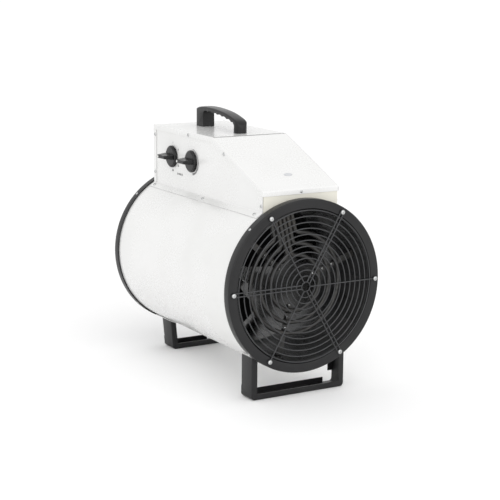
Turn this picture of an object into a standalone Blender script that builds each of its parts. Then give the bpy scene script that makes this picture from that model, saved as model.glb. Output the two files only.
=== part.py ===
"""Round electric fan heater with a control box on top.

Frame: metres, +Z up.  The barrel's axis runs along Y, the outlet faces -Y, the
knob panel faces -X.  The origin is on the floor under the middle of the barrel.
"""
import math

import bmesh
import bpy
from mathutils import Matrix, Vector

# ---------------------------------------------------------------- dimensions
AXIS_Z = 0.2185          # height of the barrel's axis above the floor
HALF_L = 0.2475          # half the length over the two end rings
RING_R = 0.170           # outer radius of the end rings
RING_DEPTH = 0.018       # depth of an end ring's rim
RING_T = 0.0015          # sheet of an end ring
MOUTH_R = 0.151          # inner radius of an end ring
SCREW_R = 0.160          # circle of the guard screws
BARREL_R = 0.167         # outer radius of the barrel sheet
BARREL_T = 0.0012
LINER_R = 0.149          # outer radius of the heat shield
LINER_T = 0.0010
LINER_BACK = -0.060      # where the heat shield ends
GAP = 0.0003             # clearance between touching pieces

WIRE_R = 0.0012          # guard wires
HUB_RING_R = 0.0095      # innermost guard ring
LAST_RING_R = 0.1485     # outermost guard ring
FRONT_RINGS = 12
REAR_RINGS = 7

TUBE_R = 0.00425         # heating element tube
ELEMENT_Y = -0.2075      # plane of the heating elements
ELEMENTS = (("heating_element_outer", 0.100, 0.0240),
            ("heating_element_middle", 0.078, 0.0140),
            ("heating_element_inner", 0.055, 0.0047))
LEAD_ANGLE = math.radians(104.0)   # direction in which the tube ends rise
LEAD_END_R = 0.184                 # radius the tube ends reach, inside the box

FAN_R = 0.160            # tip radius of the impeller
FAN_Y = 0.085            # middle plane of the impeller
FAN_BLADES = 5
HUB_R = 0.043
SHAFT_R = 0.006
MOTOR_R = 0.050
MOTOR_FRONT = 0.118
MOTOR_BACK = 0.188
BRACKET_Y = 0.2045       # plate that carries the motor

BOX_HALF_W = 0.086       # control box, outside of the cover
BOX_TOP = 0.4865
BOX_REAR = 0.2235
BOX_BEND = -0.0315       # where the flat top turns into the slope
BOX_FRONT = -0.2265
SLOPE_END_Z = 0.4055
LIP_Z = 0.3955
SHEET = 0.0012           # sheet of the box
FOLD = 0.010             # side flanges of the cover
KNOB_Z = 0.4285
KNOBS_Y = {"selector": 0.1395, "thermostat": 0.0545}
SPINDLE_R = 0.003
KNOB_R = 0.0225

HANDLE_W = 0.027
HANDLE_ROUND = 0.0110    # corner radius of the handle ends seen from above
HANDLE_GAP = (0.0105, 0.1390)   # faces of the two posts toward the fingers
SCALLOP = 0.0026
# top line of the handle, rear to front: place along the barrel, height on the cover
HANDLE_TOP = ((0.1760, 0.0240), (0.1752, 0.0300), (0.1725, 0.0343), (0.1680, 0.0376),
              (0.1610, 0.0400), (0.1500, 0.0417), (0.1370, 0.0428), (0.1240, 0.0430),
              (0.1050, 0.0427), (0.0870, 0.0417), (0.0680, 0.0400), (0.0500, 0.0376),
              (0.0350, 0.0346), (0.0220, 0.0314), (0.0100, 0.0276), (0.0030, 0.0240),
              (-0.0010, 0.0200), (-0.0033, 0.0155), (-0.0040, 0.0105))
# ridges between the finger scallops, front to rear
HANDLE_CUSPS = ((0.0130, 0.0180), (0.0224, 0.0209), (0.0415, 0.0250), (0.0615, 0.0283),
                (0.0810, 0.0303), (0.1005, 0.0315), (0.1200, 0.0318), (0.1360, 0.0312))

LEG_T = 0.002            # channel sheet of the legs
LEG_FLANGE = 0.012
FRONT_LEG_Y = (-0.2270, -0.1860)
FRONT_LEG_X = (0.1060, 0.1060)   # half width at the top and at the foot
REAR_LEG_Y = (0.1790, 0.2200)
REAR_LEG_X = (0.0800, 0.0640)
SADDLE_GAP = 0.0012      # saddle plate stands off the barrel by this much
SADDLE_T = 0.0015
SADDLE_LIP = 0.0020       # saddle plate stands out past the leg by this much


# ------------------------------------------------------------------- helpers
def clear_scene():
    for old in list(bpy.data.objects):
        bpy.data.objects.remove(old, do_unlink=True)


MATERIALS = {}


def material(name, color, roughness, metallic=0.0):
    """One Principled BSDF material per name."""
    if name in MATERIALS:
        return MATERIALS[name]
    mat = bpy.data.materials.new(name)
    mat.use_nodes = True
    bsdf = mat.node_tree.nodes["Principled BSDF"]
    bsdf.inputs["Base Color"].default_value = (*color, 1.0)
    bsdf.inputs["Roughness"].default_value = roughness
    bsdf.inputs["Metallic"].default_value = metallic
    mat.diffuse_color = (*color, 1.0)
    MATERIALS[name] = mat
    return mat


def white():
    return material("white_powder_coat", (0.82, 0.82, 0.80), 0.42)


def black():
    return material("black_powder_coat", (0.020, 0.020, 0.021), 0.42)


def dark_liner():
    return material("dark_glossy_liner", (0.09, 0.09, 0.095), 0.25, 0.6)


def steel():
    return material("zinc_plated_steel", (0.62, 0.62, 0.60), 0.32, 1.0)


def element_steel():
    return material("heater_tube_steel", (0.06, 0.06, 0.058), 0.45, 0.7)


def plastic():
    return material("black_plastic", (0.022, 0.022, 0.024), 0.50)


def gray_plastic():
    return material("grey_plastic", (0.38, 0.39, 0.40), 0.55)


def aluminium():
    return material("cast_aluminium", (0.10, 0.10, 0.105), 0.45, 0.7)


def finish(name, bm, mat, location=(0.0, 0.0, 0.0), parent=None, smooth=40.0):
    """Turn a bmesh into a named object."""
    bmesh.ops.remove_doubles(bm, verts=bm.verts, dist=1e-6)
    bmesh.ops.recalc_face_normals(bm, faces=bm.faces)
    mesh = bpy.data.meshes.new(name)
    bm.to_mesh(mesh)
    bm.free()
    mesh.materials.append(mat)
    if smooth:
        mesh.shade_smooth()
        mesh.set_sharp_from_angle(angle=math.radians(smooth))
    obj = bpy.data.objects.new(name, mesh)
    bpy.context.scene.collection.objects.link(obj)
    obj.location = location
    if parent is not None:
        obj.parent = parent
    return obj


def cutter(name, bm):
    """A tool body for a Boolean, hidden from the model."""
    obj = finish(name, bm, black(), smooth=0.0)
    obj.hide_render = True
    obj.display_type = "WIRE"
    return obj


def boolean(obj, tool, operation):
    mod = obj.modifiers.new(operation.lower(), "BOOLEAN")
    mod.operation = operation
    mod.solver = "EXACT"
    mod.object = tool
    return mod


def empty(name, location, parent=None):
    obj = bpy.data.objects.new(name, None)
    bpy.context.scene.collection.objects.link(obj)
    obj.location = location
    if parent is not None:
        obj.parent = parent
    return obj


def add_box(bm, low, high):
    """Axis-aligned block between two corners."""
    low = Vector(low)
    high = Vector(high)
    size = high - low
    matrix = Matrix.Translation((low + high) / 2) @ Matrix.Diagonal((*size, 1.0))
    return bmesh.ops.create_cube(bm, size=1.0, matrix=matrix)["verts"]


def add_prism(bm, outline, axis, low, high):
    """Extrude a closed outline along X, Y or Z.  X takes (y, z) points, Y takes (x, z), Z takes (x, y)."""
    def place(a, b, c):
        if axis == "X":
            return (c, a, b)
        if axis == "Y":
            return (a, c, b)
        return (a, b, c)
    start = [bm.verts.new(place(a, b, low)) for a, b in outline]
    end = [bm.verts.new(place(a, b, high)) for a, b in outline]
    count = len(outline)
    bm.faces.new(start)
    bm.faces.new(list(reversed(end)))
    for i in range(count):
        j = (i + 1) % count
        bm.faces.new((start[j], start[i], end[i], end[j]))


def add_lathe(bm, profile, segments, center=(0.0, 0.0, 0.0), axis="Y", closed=True):
    """Turn (radius, position) points about an axis; an open profile ends on the axis."""
    def place(radius, along, angle):
        a = radius * math.cos(angle)
        b = radius * math.sin(angle)
        if axis == "Y":
            local = (a, along, b)
        elif axis == "X":
            local = (along, a, b)
        else:
            local = (a, b, along)
        return Vector(center) + Vector(local)
    loops = []
    for radius, along in profile:
        if radius < 1e-9:
            loops.append([bm.verts.new(place(0.0, along, 0.0))])
            continue
        loops.append([bm.verts.new(place(radius, along, 2 * math.pi * i / segments))
                      for i in range(segments)])
    pairs = list(zip(loops, loops[1:]))
    if closed:
        pairs.append((loops[-1], loops[0]))
    for one, two in pairs:
        for i in range(segments):
            j = (i + 1) % segments
            if len(one) == 1 and len(two) == 1:
                continue
            if len(one) == 1:
                bm.faces.new((one[0], two[i], two[j]))
            elif len(two) == 1:
                bm.faces.new((one[i], two[0], one[j]))
            else:
                bm.faces.new((one[i], two[i], two[j], one[j]))


def add_tube(bm, points, radius, sides, closed=False, phase=0.0):
    """Sweep a round section along points, with flat ends or as a loop."""
    points = [Vector(p) for p in points]
    count = len(points)
    tangents = []
    for i in range(count):
        if closed:
            before = points[i - 1]
            after = points[(i + 1) % count]
        else:
            before = points[max(i - 1, 0)]
            after = points[min(i + 1, count - 1)]
        tangents.append((after - before).normalized())
    guide = Vector((0.0, 1.0, 0.0))
    if abs(tangents[0].dot(guide)) > 0.9:
        guide = Vector((1.0, 0.0, 0.0))
    normal = (guide - tangents[0] * guide.dot(tangents[0])).normalized()
    loops = []
    for i, tangent in enumerate(tangents):
        if i:
            turn = tangents[i - 1].rotation_difference(tangent)
            normal = (turn @ normal).normalized()
        side = tangent.cross(normal)
        loop = []
        for k in range(sides):
            angle = 2 * math.pi * k / sides + phase
            offset = normal * math.cos(angle) + side * math.sin(angle)
            loop.append(bm.verts.new(points[i] + offset * radius))
        loops.append(loop)
    pairs = list(zip(loops, loops[1:]))
    if closed:
        pairs.append((loops[-1], loops[0]))
    for one, two in pairs:
        for k in range(sides):
            m = (k + 1) % sides
            bm.faces.new((one[k], two[k], two[m], one[m]))
    if not closed:
        bm.faces.new(list(reversed(loops[0])))
        bm.faces.new(loops[-1])


def ring_sector(bm, r_in, r_out, start, end, low, high, steps):
    """Curved strip about the barrel axis between two angles, extruded along Y."""
    outline = []
    for i in range(steps + 1):
        a = start + (end - start) * i / steps
        outline.append((r_out * math.cos(a), AXIS_Z + r_out * math.sin(a)))
    for i in range(steps, -1, -1):
        a = start + (end - start) * i / steps
        outline.append((r_in * math.cos(a), AXIS_Z + r_in * math.sin(a)))
    add_prism(bm, outline, "Y", low, high)


def on_axis(angle, radius, y):
    """Point at an angle and radius about the barrel axis."""
    return Vector((radius * math.cos(angle), y, AXIS_Z + radius * math.sin(angle)))


def turn_about_axis(bm, verts, angle):
    """Rotate vertices about the barrel's axis."""
    bmesh.ops.rotate(bm, verts=verts, cent=(0.0, 0.0, AXIS_Z),
                     matrix=Matrix.Rotation(-angle, 3, "Y"))


# -------------------------------------------------------------------- barrel
def lead_opening(depth_low, depth_high, half_width, r_low, r_high):
    """Block that cuts a window for the element ends."""
    bm = bmesh.new()
    verts = add_box(bm, (r_low, depth_low, AXIS_Z - half_width),
                    (r_high, depth_high, AXIS_Z + half_width))
    turn_about_axis(bm, verts, LEAD_ANGLE)
    return bm


def build_barrel():
    """Rolled sheet barrel with windows for the element ends and the motor lead."""
    end = HALF_L - RING_T - GAP
    bm = bmesh.new()
    outer = BARREL_R
    inner = BARREL_R - BARREL_T
    add_lathe(bm, [(outer, -end), (outer, end), (inner, end), (inner, -end)], 64,
              (0.0, 0.0, AXIS_Z))
    barrel = finish("barrel", bm, white())
    window = cutter("cut_barrel_window",
                    lead_opening(ELEMENT_Y - 0.010, ELEMENT_Y + 0.010, 0.0295, 0.158, 0.176))
    boolean(barrel, window, "DIFFERENCE")
    bm = bmesh.new()
    add_lathe(bm, [(0.0, 0.14), (0.007, 0.14), (0.007, 0.18), (0.0, 0.18)], 16,
              (0.0, 0.160, AXIS_Z), "Z", closed=False)
    add_lathe(bm, [(0.0, 0.14), (0.005, 0.14), (0.005, 0.18), (0.0, 0.18)], 16,
              (-0.025, 0.040, AXIS_Z), "Z", closed=False)
    boolean(barrel, cutter("cut_barrel_holes", bm), "DIFFERENCE")


def build_liner():
    """Heat shield: a tube inside the outlet with a collar out to the barrel."""
    front = -HALF_L + 0.005
    outer = LINER_R
    inner = LINER_R - LINER_T
    collar = BARREL_R - BARREL_T - GAP
    bm = bmesh.new()
    add_lathe(bm, [(outer, front), (outer, LINER_BACK - LINER_T), (collar, LINER_BACK - LINER_T),
                   (collar, LINER_BACK), (inner, LINER_BACK), (inner, front)], 64,
              (0.0, 0.0, AXIS_Z))
    liner = finish("inner_liner", bm, dark_liner())
    window = cutter("cut_liner_window",
                    lead_opening(ELEMENT_Y - 0.009, ELEMENT_Y + 0.009, 0.0293, 0.140, 0.156))
    boolean(liner, window, "DIFFERENCE")


def build_ring(name, sign):
    """End ring: flat flange, rim turned back over the barrel, inner lip rolled in."""
    face = sign * HALF_L

    def at(depth):
        return face - sign * depth
    profile = [(RING_R, at(RING_DEPTH)), (RING_R, at(0.0016)), (RING_R - 0.0016, at(0.0)),
               (MOUTH_R + 0.0016, at(0.0)), (MOUTH_R, at(0.0016)), (MOUTH_R, at(0.008)),
               (MOUTH_R + RING_T, at(0.008)), (MOUTH_R + RING_T, at(RING_T)),
               (RING_R - RING_T, at(RING_T)), (RING_R - RING_T, at(RING_DEPTH))]
    bm = bmesh.new()
    add_lathe(bm, profile, 60, (0.0, 0.0, AXIS_Z))
    ring = finish(name, bm, black())
    bm = bmesh.new()
    for k in range(6):
        center = on_axis(math.radians(60 * k), SCREW_R, face)
        add_lathe(bm, [(0.0, -0.006), (0.0023, -0.006), (0.0023, 0.006), (0.0, 0.006)], 8,
                  center, "Y", closed=False)
    boolean(ring, cutter("cut_" + name, bm), "DIFFERENCE")


def spoke_paths(sign, angle, double):
    """Guard spoke from the hub out to its screw; a double one is a hairpin round the screw."""
    y = sign * (HALF_L + GAP + WIRE_R)
    eye = 0.0035
    out = Vector((math.cos(angle), 0.0, math.sin(angle)))
    side = Vector((-math.sin(angle), 0.0, math.cos(angle)))
    base = Vector((0.0, y, AXIS_Z))
    if double:
        points = [base + out * (HUB_RING_R - 0.001) - side * eye]
        for k in range(5):
            a = -math.pi / 2 + math.pi * k / 4
            points.append(base + out * (SCREW_R + eye * math.cos(a)) + side * (eye * math.sin(a)))
        points.append(base + out * (HUB_RING_R - 0.001) + side * eye)
        return points
    points = [base + out * (HUB_RING_R - 0.001)]
    points.append(base + out * (SCREW_R - eye - 0.004))
    for k in range(8):
        a = math.pi + math.radians(20 + 42 * k)
        points.append(base + out * (SCREW_R + eye * math.cos(a)) + side * (eye * math.sin(a)))
    return points


def build_guard(name, sign, rings):
    """Wire guard: concentric rings welded behind six spokes."""
    y = sign * (HALF_L - 0.0003)
    bm = bmesh.new()
    pitch = (LAST_RING_R - HUB_RING_R) / rings
    for k in range(rings + 1):
        radius = HUB_RING_R + pitch * k
        count = int(round(12 + 24 * radius / LAST_RING_R))
        points = [on_axis(2 * math.pi * i / count, radius, y) for i in range(count)]
        add_tube(bm, points, WIRE_R, 4, closed=True)
    guard = finish(name, bm, black(), smooth=60.0)
    for k, degrees in enumerate((180, 120, 60, 0, -60, -120)):
        bm = bmesh.new()
        add_tube(bm, spoke_paths(sign, math.radians(degrees), k % 2 == 0), WIRE_R, 4)
        boolean(guard, cutter("{}_spoke_{}".format(name, k + 1), bm), "UNION")
    for k, degrees in enumerate((180, 120, 60, 0, -60, -120)):
        number = k + 1
        bm = bmesh.new()
        head = sign * (HALF_L + 2 * GAP + 2 * WIRE_R)
        center = on_axis(math.radians(degrees), SCREW_R, head)
        step = sign
        add_lathe(bm, [(0.0, step * 0.0026), (0.0036, step * 0.0018), (0.0046, 0.0), (0.0019, 0.0),
                       (0.0019, -step * 0.009), (0.0, -step * 0.009)], 8, center, "Y",
                  closed=False)
        finish("{}_screw_{}".format(name, number), bm, steel())


# ---------------------------------------------------------- heating elements
def element_path(radius, offset):
    """Ring of tube whose two ends turn outward, side by side, toward the box."""
    out = Vector((math.cos(LEAD_ANGLE), 0.0, math.sin(LEAD_ANGLE)))
    side = Vector((-math.sin(LEAD_ANGLE), 0.0, math.cos(LEAD_ANGLE)))
    base = Vector((0.0, ELEMENT_Y, AXIS_Z))
    bend = 0.010

    # the corner between arc and riser is rounded by a quarter turn
    start = math.asin((offset + bend) / (radius + bend))
    corner = (radius + bend) * math.cos(start)
    points = [base + out * LEAD_END_R + side * offset]
    for k in range(4):
        a = math.pi + (math.pi / 2 - start) * k / 3
        points.append(base + out * (corner - bend * math.sin(a - math.pi))
                      + side * (offset + bend + bend * math.cos(a)))
    count = 30
    for k in range(1, count):
        a = LEAD_ANGLE + start + (2 * math.pi - 2 * start) * k / count
        points.append(on_axis(a, radius, ELEMENT_Y))
    mirrored = [base + out * LEAD_END_R - side * offset]
    for k in range(4):
        a = math.pi + (math.pi / 2 - start) * k / 3
        mirrored.append(base + out * (corner - bend * math.sin(a - math.pi))
                        - side * (offset + bend + bend * math.cos(a)))
    return points + list(reversed(mirrored))


def build_elements():
    for name, radius, offset in ELEMENTS:
        bm = bmesh.new()
        add_tube(bm, element_path(radius, offset), TUBE_R, 6)
        finish(name, bm, element_steel())

    # radial straps behind the tubes, each with a foot on the heat shield
    back = ELEMENT_Y + TUBE_R + GAP
    for k, degrees in enumerate((18, 138, 258)):
        bm = bmesh.new()
        reach = LINER_R - LINER_T - 0.0007
        outline = [(0.044, back), (reach, back), (reach, back + 0.018), (reach - 0.0016, back + 0.018),
                   (reach - 0.0016, back + 0.0016), (0.044, back + 0.0016)]
        add_prism(bm, outline, "Z", AXIS_Z - 0.006, AXIS_Z + 0.006)
        turn_about_axis(bm, bm.verts, math.radians(degrees))
        finish("element_strap_{}".format(k + 1), bm, element_steel(), smooth=0.0)


# ------------------------------------------------------------- fan and motor
def blade(bm, turn):
    """One twisted blade as a closed loft from root to tip."""
    loops = []
    steps = 5
    for i in range(steps + 1):
        f = i / steps
        radius = HUB_R - 0.006 + (FAN_R - HUB_R + 0.006) * f
        pitch = math.radians(44 - 18 * f)
        chord = 0.062 + 0.030 * f
        sweep = 0.10 * f * f
        loop = []
        for u, w in ((-0.5, 0.0), (-0.2, 0.05), (0.15, 0.06), (0.5, 0.0),
                     (0.48, -0.0225), (0.15, 0.0375), (-0.2, 0.0275), (-0.48, -0.0225)):
            along = u * chord
            camber = w * chord
            tangential = along * math.cos(pitch) - camber * math.sin(pitch)
            axial = along * math.sin(pitch) + camber * math.cos(pitch)
            angle = turn + sweep + tangential / radius
            loop.append(bm.verts.new((radius * math.cos(angle), axial, radius * math.sin(angle))))
        loops.append(loop)
    for one, two in zip(loops, loops[1:]):
        for k in range(8):
            m = (k + 1) % 8
            bm.faces.new((one[k], two[k], two[m], one[m]))
    bm.faces.new(list(reversed(loops[0])))
    bm.faces.new(loops[-1])


def build_fan():
    """Impeller on its shaft; both turn about the barrel's axis."""
    pivot = empty("fan_axis", (0.0, FAN_Y, AXIS_Z))
    bm = bmesh.new()
    bore = SHAFT_R + GAP
    add_lathe(bm, [(bore, -0.024), (0.018, -0.024), (0.036, -0.019), (HUB_R, -0.010),
                   (HUB_R, 0.024), (HUB_R - 0.003, 0.024), (HUB_R - 0.003, -0.008),
                   (0.014, -0.012), (0.014, 0.016), (bore, 0.016)], 24)
    fan = finish("fan_impeller", bm, aluminium(), parent=pivot)
    for k in range(FAN_BLADES):
        bm = bmesh.new()
        blade(bm, 2 * math.pi * k / FAN_BLADES)
        tool = cutter("fan_blade_{}".format(k + 1), bm)
        tool.parent = pivot
        boolean(fan, tool, "UNION")
    bm = bmesh.new()
    add_lathe(bm, [(0.0, -0.030), (SHAFT_R - 0.0008, -0.030), (SHAFT_R, -0.0292),
                   (SHAFT_R, 0.075), (0.0, 0.075)], 20, closed=False)
    finish("motor_shaft", bm, steel(), parent=pivot)


def build_motor():
    """Motor body with cooling ribs, its end cap and the arms to the barrel."""
    front = MOTOR_FRONT
    back = MOTOR_BACK
    profile = [(SHAFT_R + GAP, front), (0.016, front), (0.018, front + 0.004),
               (MOTOR_R - 0.006, front + 0.006), (MOTOR_R - 0.003, front + 0.010)]
    ribs = 4
    for k in range(ribs):
        y = front + 0.016 + k * 0.012
        profile += [(MOTOR_R - 0.003, y), (MOTOR_R, y + 0.001), (MOTOR_R, y + 0.005),
                    (MOTOR_R - 0.003, y + 0.006)]
    profile += [(MOTOR_R - 0.003, back), (SHAFT_R + 0.010, back), (SHAFT_R + 0.010, back - 0.006),
                (SHAFT_R + GAP, back - 0.006)]
    bm = bmesh.new()
    add_lathe(bm, profile, 24, (0.0, 0.0, AXIS_Z))
    finish("motor_body", bm, black())
    bm = bmesh.new()
    start = back + GAP
    add_lathe(bm, [(0.0, start), (0.040, start), (0.040, start + 0.006), (0.030, start + 0.012),
                   (0.012, start + 0.0159), (0.0, start + 0.0159)], 24,
              (0.0, 0.0, AXIS_Z), closed=False)
    finish("motor_end_cap", bm, black())

    # three arms from a centre plate out to feet on the barrel wall
    bm = bmesh.new()
    add_lathe(bm, [(0.0, BRACKET_Y), (0.036, BRACKET_Y), (0.036, BRACKET_Y + 0.002),
                   (0.0, BRACKET_Y + 0.002)], 36, (0.0, 0.0, AXIS_Z), closed=False)
    bracket = finish("motor_bracket", bm, steel())
    wall = BARREL_R - BARREL_T - 0.0014
    for k, degrees in enumerate((90, 210, 330)):
        bm = bmesh.new()
        outline = [(0.020, BRACKET_Y), (wall, BRACKET_Y), (wall, BRACKET_Y + 0.020),
                   (wall - 0.002, BRACKET_Y + 0.020), (wall - 0.002, BRACKET_Y + 0.002),
                   (0.020, BRACKET_Y + 0.002)]
        add_prism(bm, outline, "Z", AXIS_Z - 0.015, AXIS_Z + 0.015)
        turn_about_axis(bm, bm.verts, math.radians(degrees))
        boolean(bracket, cutter("motor_arm_{}".format(k + 1), bm), "UNION")
    bm = bmesh.new()
    add_tube(bm, [(0.0, 0.150, AXIS_Z + MOTOR_R + GAP), (0.0, 0.150, AXIS_Z + MOTOR_R + 0.012),
                  (0.0, 0.156, AXIS_Z + 0.085), (0.0, 0.160, AXIS_Z + 0.110),
                  (0.0, 0.160, AXIS_Z + 0.185)], 0.0035, 8)
    finish("motor_lead", bm, plastic())


# ---------------------------------------------------------------------- legs
def u_outline(top_x, foot_x, top_z, inset, corner):
    """Points of a U, left top round to right top, moved inward by an inset."""
    slope = (top_x - foot_x) / top_z
    run = inset * math.sqrt(1 + slope * slope)
    low = inset
    foot = foot_x + slope * low - run
    top = top_x - run
    points = [(-top, top_z)]
    radius = max(corner - inset, 0.0008)
    lean = math.atan(slope)
    center_x = foot + slope * radius - radius
    center_z = low + radius
    for k in range(5):
        a = math.pi + lean + (math.pi / 2 - lean) * k / 4
        points.append((-center_x + radius * math.cos(a), center_z + radius * math.sin(a)))
    for k in range(4, -1, -1):
        a = math.pi + lean + (math.pi / 2 - lean) * k / 4
        points.append((center_x - radius * math.cos(a), center_z + radius * math.sin(a)))
    points.append((top, top_z))
    return points


def build_leg(name, y_range, x_range):
    """U-shaped leg of bent channel, flanges inside, notched at the back corners."""
    low, high = y_range
    top_x, foot_x = x_range
    top_z = AXIS_Z - 0.060
    corner = 0.007
    outer = u_outline(top_x, foot_x, top_z, 0.0, corner)
    inner = u_outline(top_x, foot_x, top_z, LEG_FLANGE, corner)
    bm = bmesh.new()
    add_prism(bm, outer + list(reversed(inner)), "Y", low, high)
    leg = finish(name, bm, black())

    # hollow of the channel, open toward the inside of the U
    web = u_outline(top_x, foot_x, top_z + 0.01, LEG_T, corner)
    deep = u_outline(top_x, foot_x, top_z + 0.01, LEG_FLANGE + 0.004, corner)
    bm = bmesh.new()
    add_prism(bm, web + list(reversed(deep)), "Y", low + LEG_T, high - LEG_T)
    boolean(leg, cutter("cut_" + name + "_channel", bm), "DIFFERENCE")

    # relief notches where the back flange would be bent double
    bm = bmesh.new()
    for sign in (-1, 1):
        a = sign * (foot_x - LEG_T - 0.001)
        b = sign * (foot_x - 0.024)
        add_box(bm, (min(a, b), high - 0.006, LEG_T + 0.001), (max(a, b), high + 0.004, 0.024))
    boolean(leg, cutter("cut_" + name + "_notches", bm), "DIFFERENCE")

    # the top follows the saddle plate under the barrel
    saddle = BARREL_R + SADDLE_GAP + SADDLE_T
    bm = bmesh.new()
    add_lathe(bm, [(0.0, low - 0.02), (saddle + GAP, low - 0.02), (saddle + GAP, high + 0.02),
                   (0.0, high + 0.02)], 96, (0.0, 0.0, AXIS_Z), closed=False)
    boolean(leg, cutter("cut_" + name + "_top", bm), "DIFFERENCE")

    # tabs turned in under the saddle for the leg bolts
    side = math.acos((top_x - 0.0012) / (saddle + 0.001))
    for sign, word in ((-1, "left"), (1, "right")):
        bm = bmesh.new()
        if sign < 0:
            a, b = math.pi + side, math.pi + side + math.radians(10)
        else:
            a, b = -side - math.radians(10), -side
        ring_sector(bm, saddle + GAP, saddle + GAP + LEG_T, a, b, low + 0.004, high - 0.004, 4)
        boolean(leg, cutter("{}_tab_{}".format(name, word), bm), "UNION")

    bm = bmesh.new()
    span = math.pi / 2 - side + math.radians(2.5)
    ring_sector(bm, BARREL_R + SADDLE_GAP, saddle, -math.pi / 2 - span, -math.pi / 2 + span,
                low - SADDLE_LIP, high + SADDLE_LIP, 24)
    plate = finish(name.replace("leg", "saddle"), bm, white())

    # a shallow spacer strip joins the saddle to the barrel
    bm = bmesh.new()
    ring_sector(bm, BARREL_R + GAP, saddle - 0.0005, -math.pi / 2 - math.radians(9),
                -math.pi / 2 + math.radians(9), low + 0.008, high - 0.008, 6)
    boolean(plate, cutter("saddle_spacer_" + name, bm), "UNION")


# --------------------------------------------------------------- control box
def slope_vectors():
    direction = Vector((BOX_FRONT - BOX_BEND, SLOPE_END_Z - BOX_TOP)).normalized()
    inward = Vector((-direction.y, direction.x))
    if inward.y > 0:
        inward = -inward
    return direction, inward


def roof(inset, front_inset):
    """Roof line of the box, moved inward: rear end, bend and foot of the slope."""
    direction, inward = slope_vectors()
    foot = Vector((BOX_BEND, BOX_TOP)) + inward * inset
    z = BOX_TOP - inset
    bend_y = foot.x + direction.x * (z - foot.y) / direction.y
    front_y = BOX_FRONT + front_inset
    front_z = foot.y + direction.y * (front_y - foot.x) / direction.x
    return [(BOX_REAR, z), (bend_y, z), (front_y, front_z)]


def build_cover():
    """One bent sheet: flat top, slope, front lip, and flanges folded over the sides."""
    top = roof(0.0, 0.0)
    low = roof(FOLD, 0.0)
    bm = bmesh.new()
    outline = top + [(BOX_FRONT, LIP_Z), (BOX_FRONT + 0.0001, LIP_Z)] + [low[1], low[0]]
    add_prism(bm, outline, "X", -BOX_HALF_W, BOX_HALF_W)
    cover = finish("box_cover", bm, white(), smooth=0.0)
    inner = roof(SHEET, SHEET)
    rear = (BOX_REAR + 0.01, inner[0][1])
    bm = bmesh.new()
    add_prism(bm, [rear, inner[1], inner[2], (inner[2][0], 0.38), (BOX_REAR + 0.01, 0.38)], "X",
              -BOX_HALF_W + SHEET, BOX_HALF_W - SHEET)
    boolean(cover, cutter("cut_cover", bm), "DIFFERENCE")


def base_flange(bm, sign, low, high):
    """Flange bent out onto the barrel."""
    touch = 0.0907
    radius = BARREL_R + 0.0004
    phi = math.asin(touch / radius)
    center = Vector((radius * math.sin(phi), radius * math.cos(phi)))
    along = Vector((math.cos(phi), -math.sin(phi)))
    normal = Vector((math.sin(phi), math.cos(phi)))
    corners = [center - along * 0.0083, center + along * 0.0070,
               center + along * 0.0070 + normal * SHEET, center - along * 0.0083 + normal * SHEET]
    outline = [(sign * c.x, AXIS_Z + c.y) for c in corners]
    add_prism(bm, outline, "Y", low, high)


def build_side(name, sign):
    """Side panel of the box with its flange on the barrel."""
    outer = BOX_HALF_W - SHEET - GAP
    inner = outer - SHEET
    line = roof(SHEET + GAP, SHEET + 2 * GAP + SHEET)
    rear = BOX_REAR - 2 * GAP
    base = AXIS_Z + 0.1456
    outline = [(rear, base), (rear, line[0][1]), line[1], line[2], (line[2][0], base)]
    bm = bmesh.new()
    low, high = sorted((sign * inner, sign * outer))
    add_prism(bm, outline, "X", low, high)
    side = finish(name, bm, white(), smooth=0.0)
    bm = bmesh.new()
    base_flange(bm, sign, line[2][0] + 0.001, rear)
    boolean(side, cutter(name + "_flange", bm), "UNION")
    if sign < 0:
        bm = bmesh.new()
        for y in KNOBS_Y.values():
            add_lathe(bm, [(0.0, -0.02), (0.0048, -0.02), (0.0048, 0.02), (0.0, 0.02)], 20,
                      (-outer, y, KNOB_Z), "X", closed=False)
        boolean(side, cutter("cut_spindle_holes", bm), "DIFFERENCE")


def barrel_tool(name, low, high, extra=0.0005):
    """Cylinder that trims a panel to sit over the barrel."""
    bm = bmesh.new()
    add_lathe(bm, [(0.0, low), (BARREL_R + extra, low), (BARREL_R + extra, high), (0.0, high)], 96,
              (0.0, 0.0, AXIS_Z), closed=False)
    return cutter(name, bm)


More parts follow.
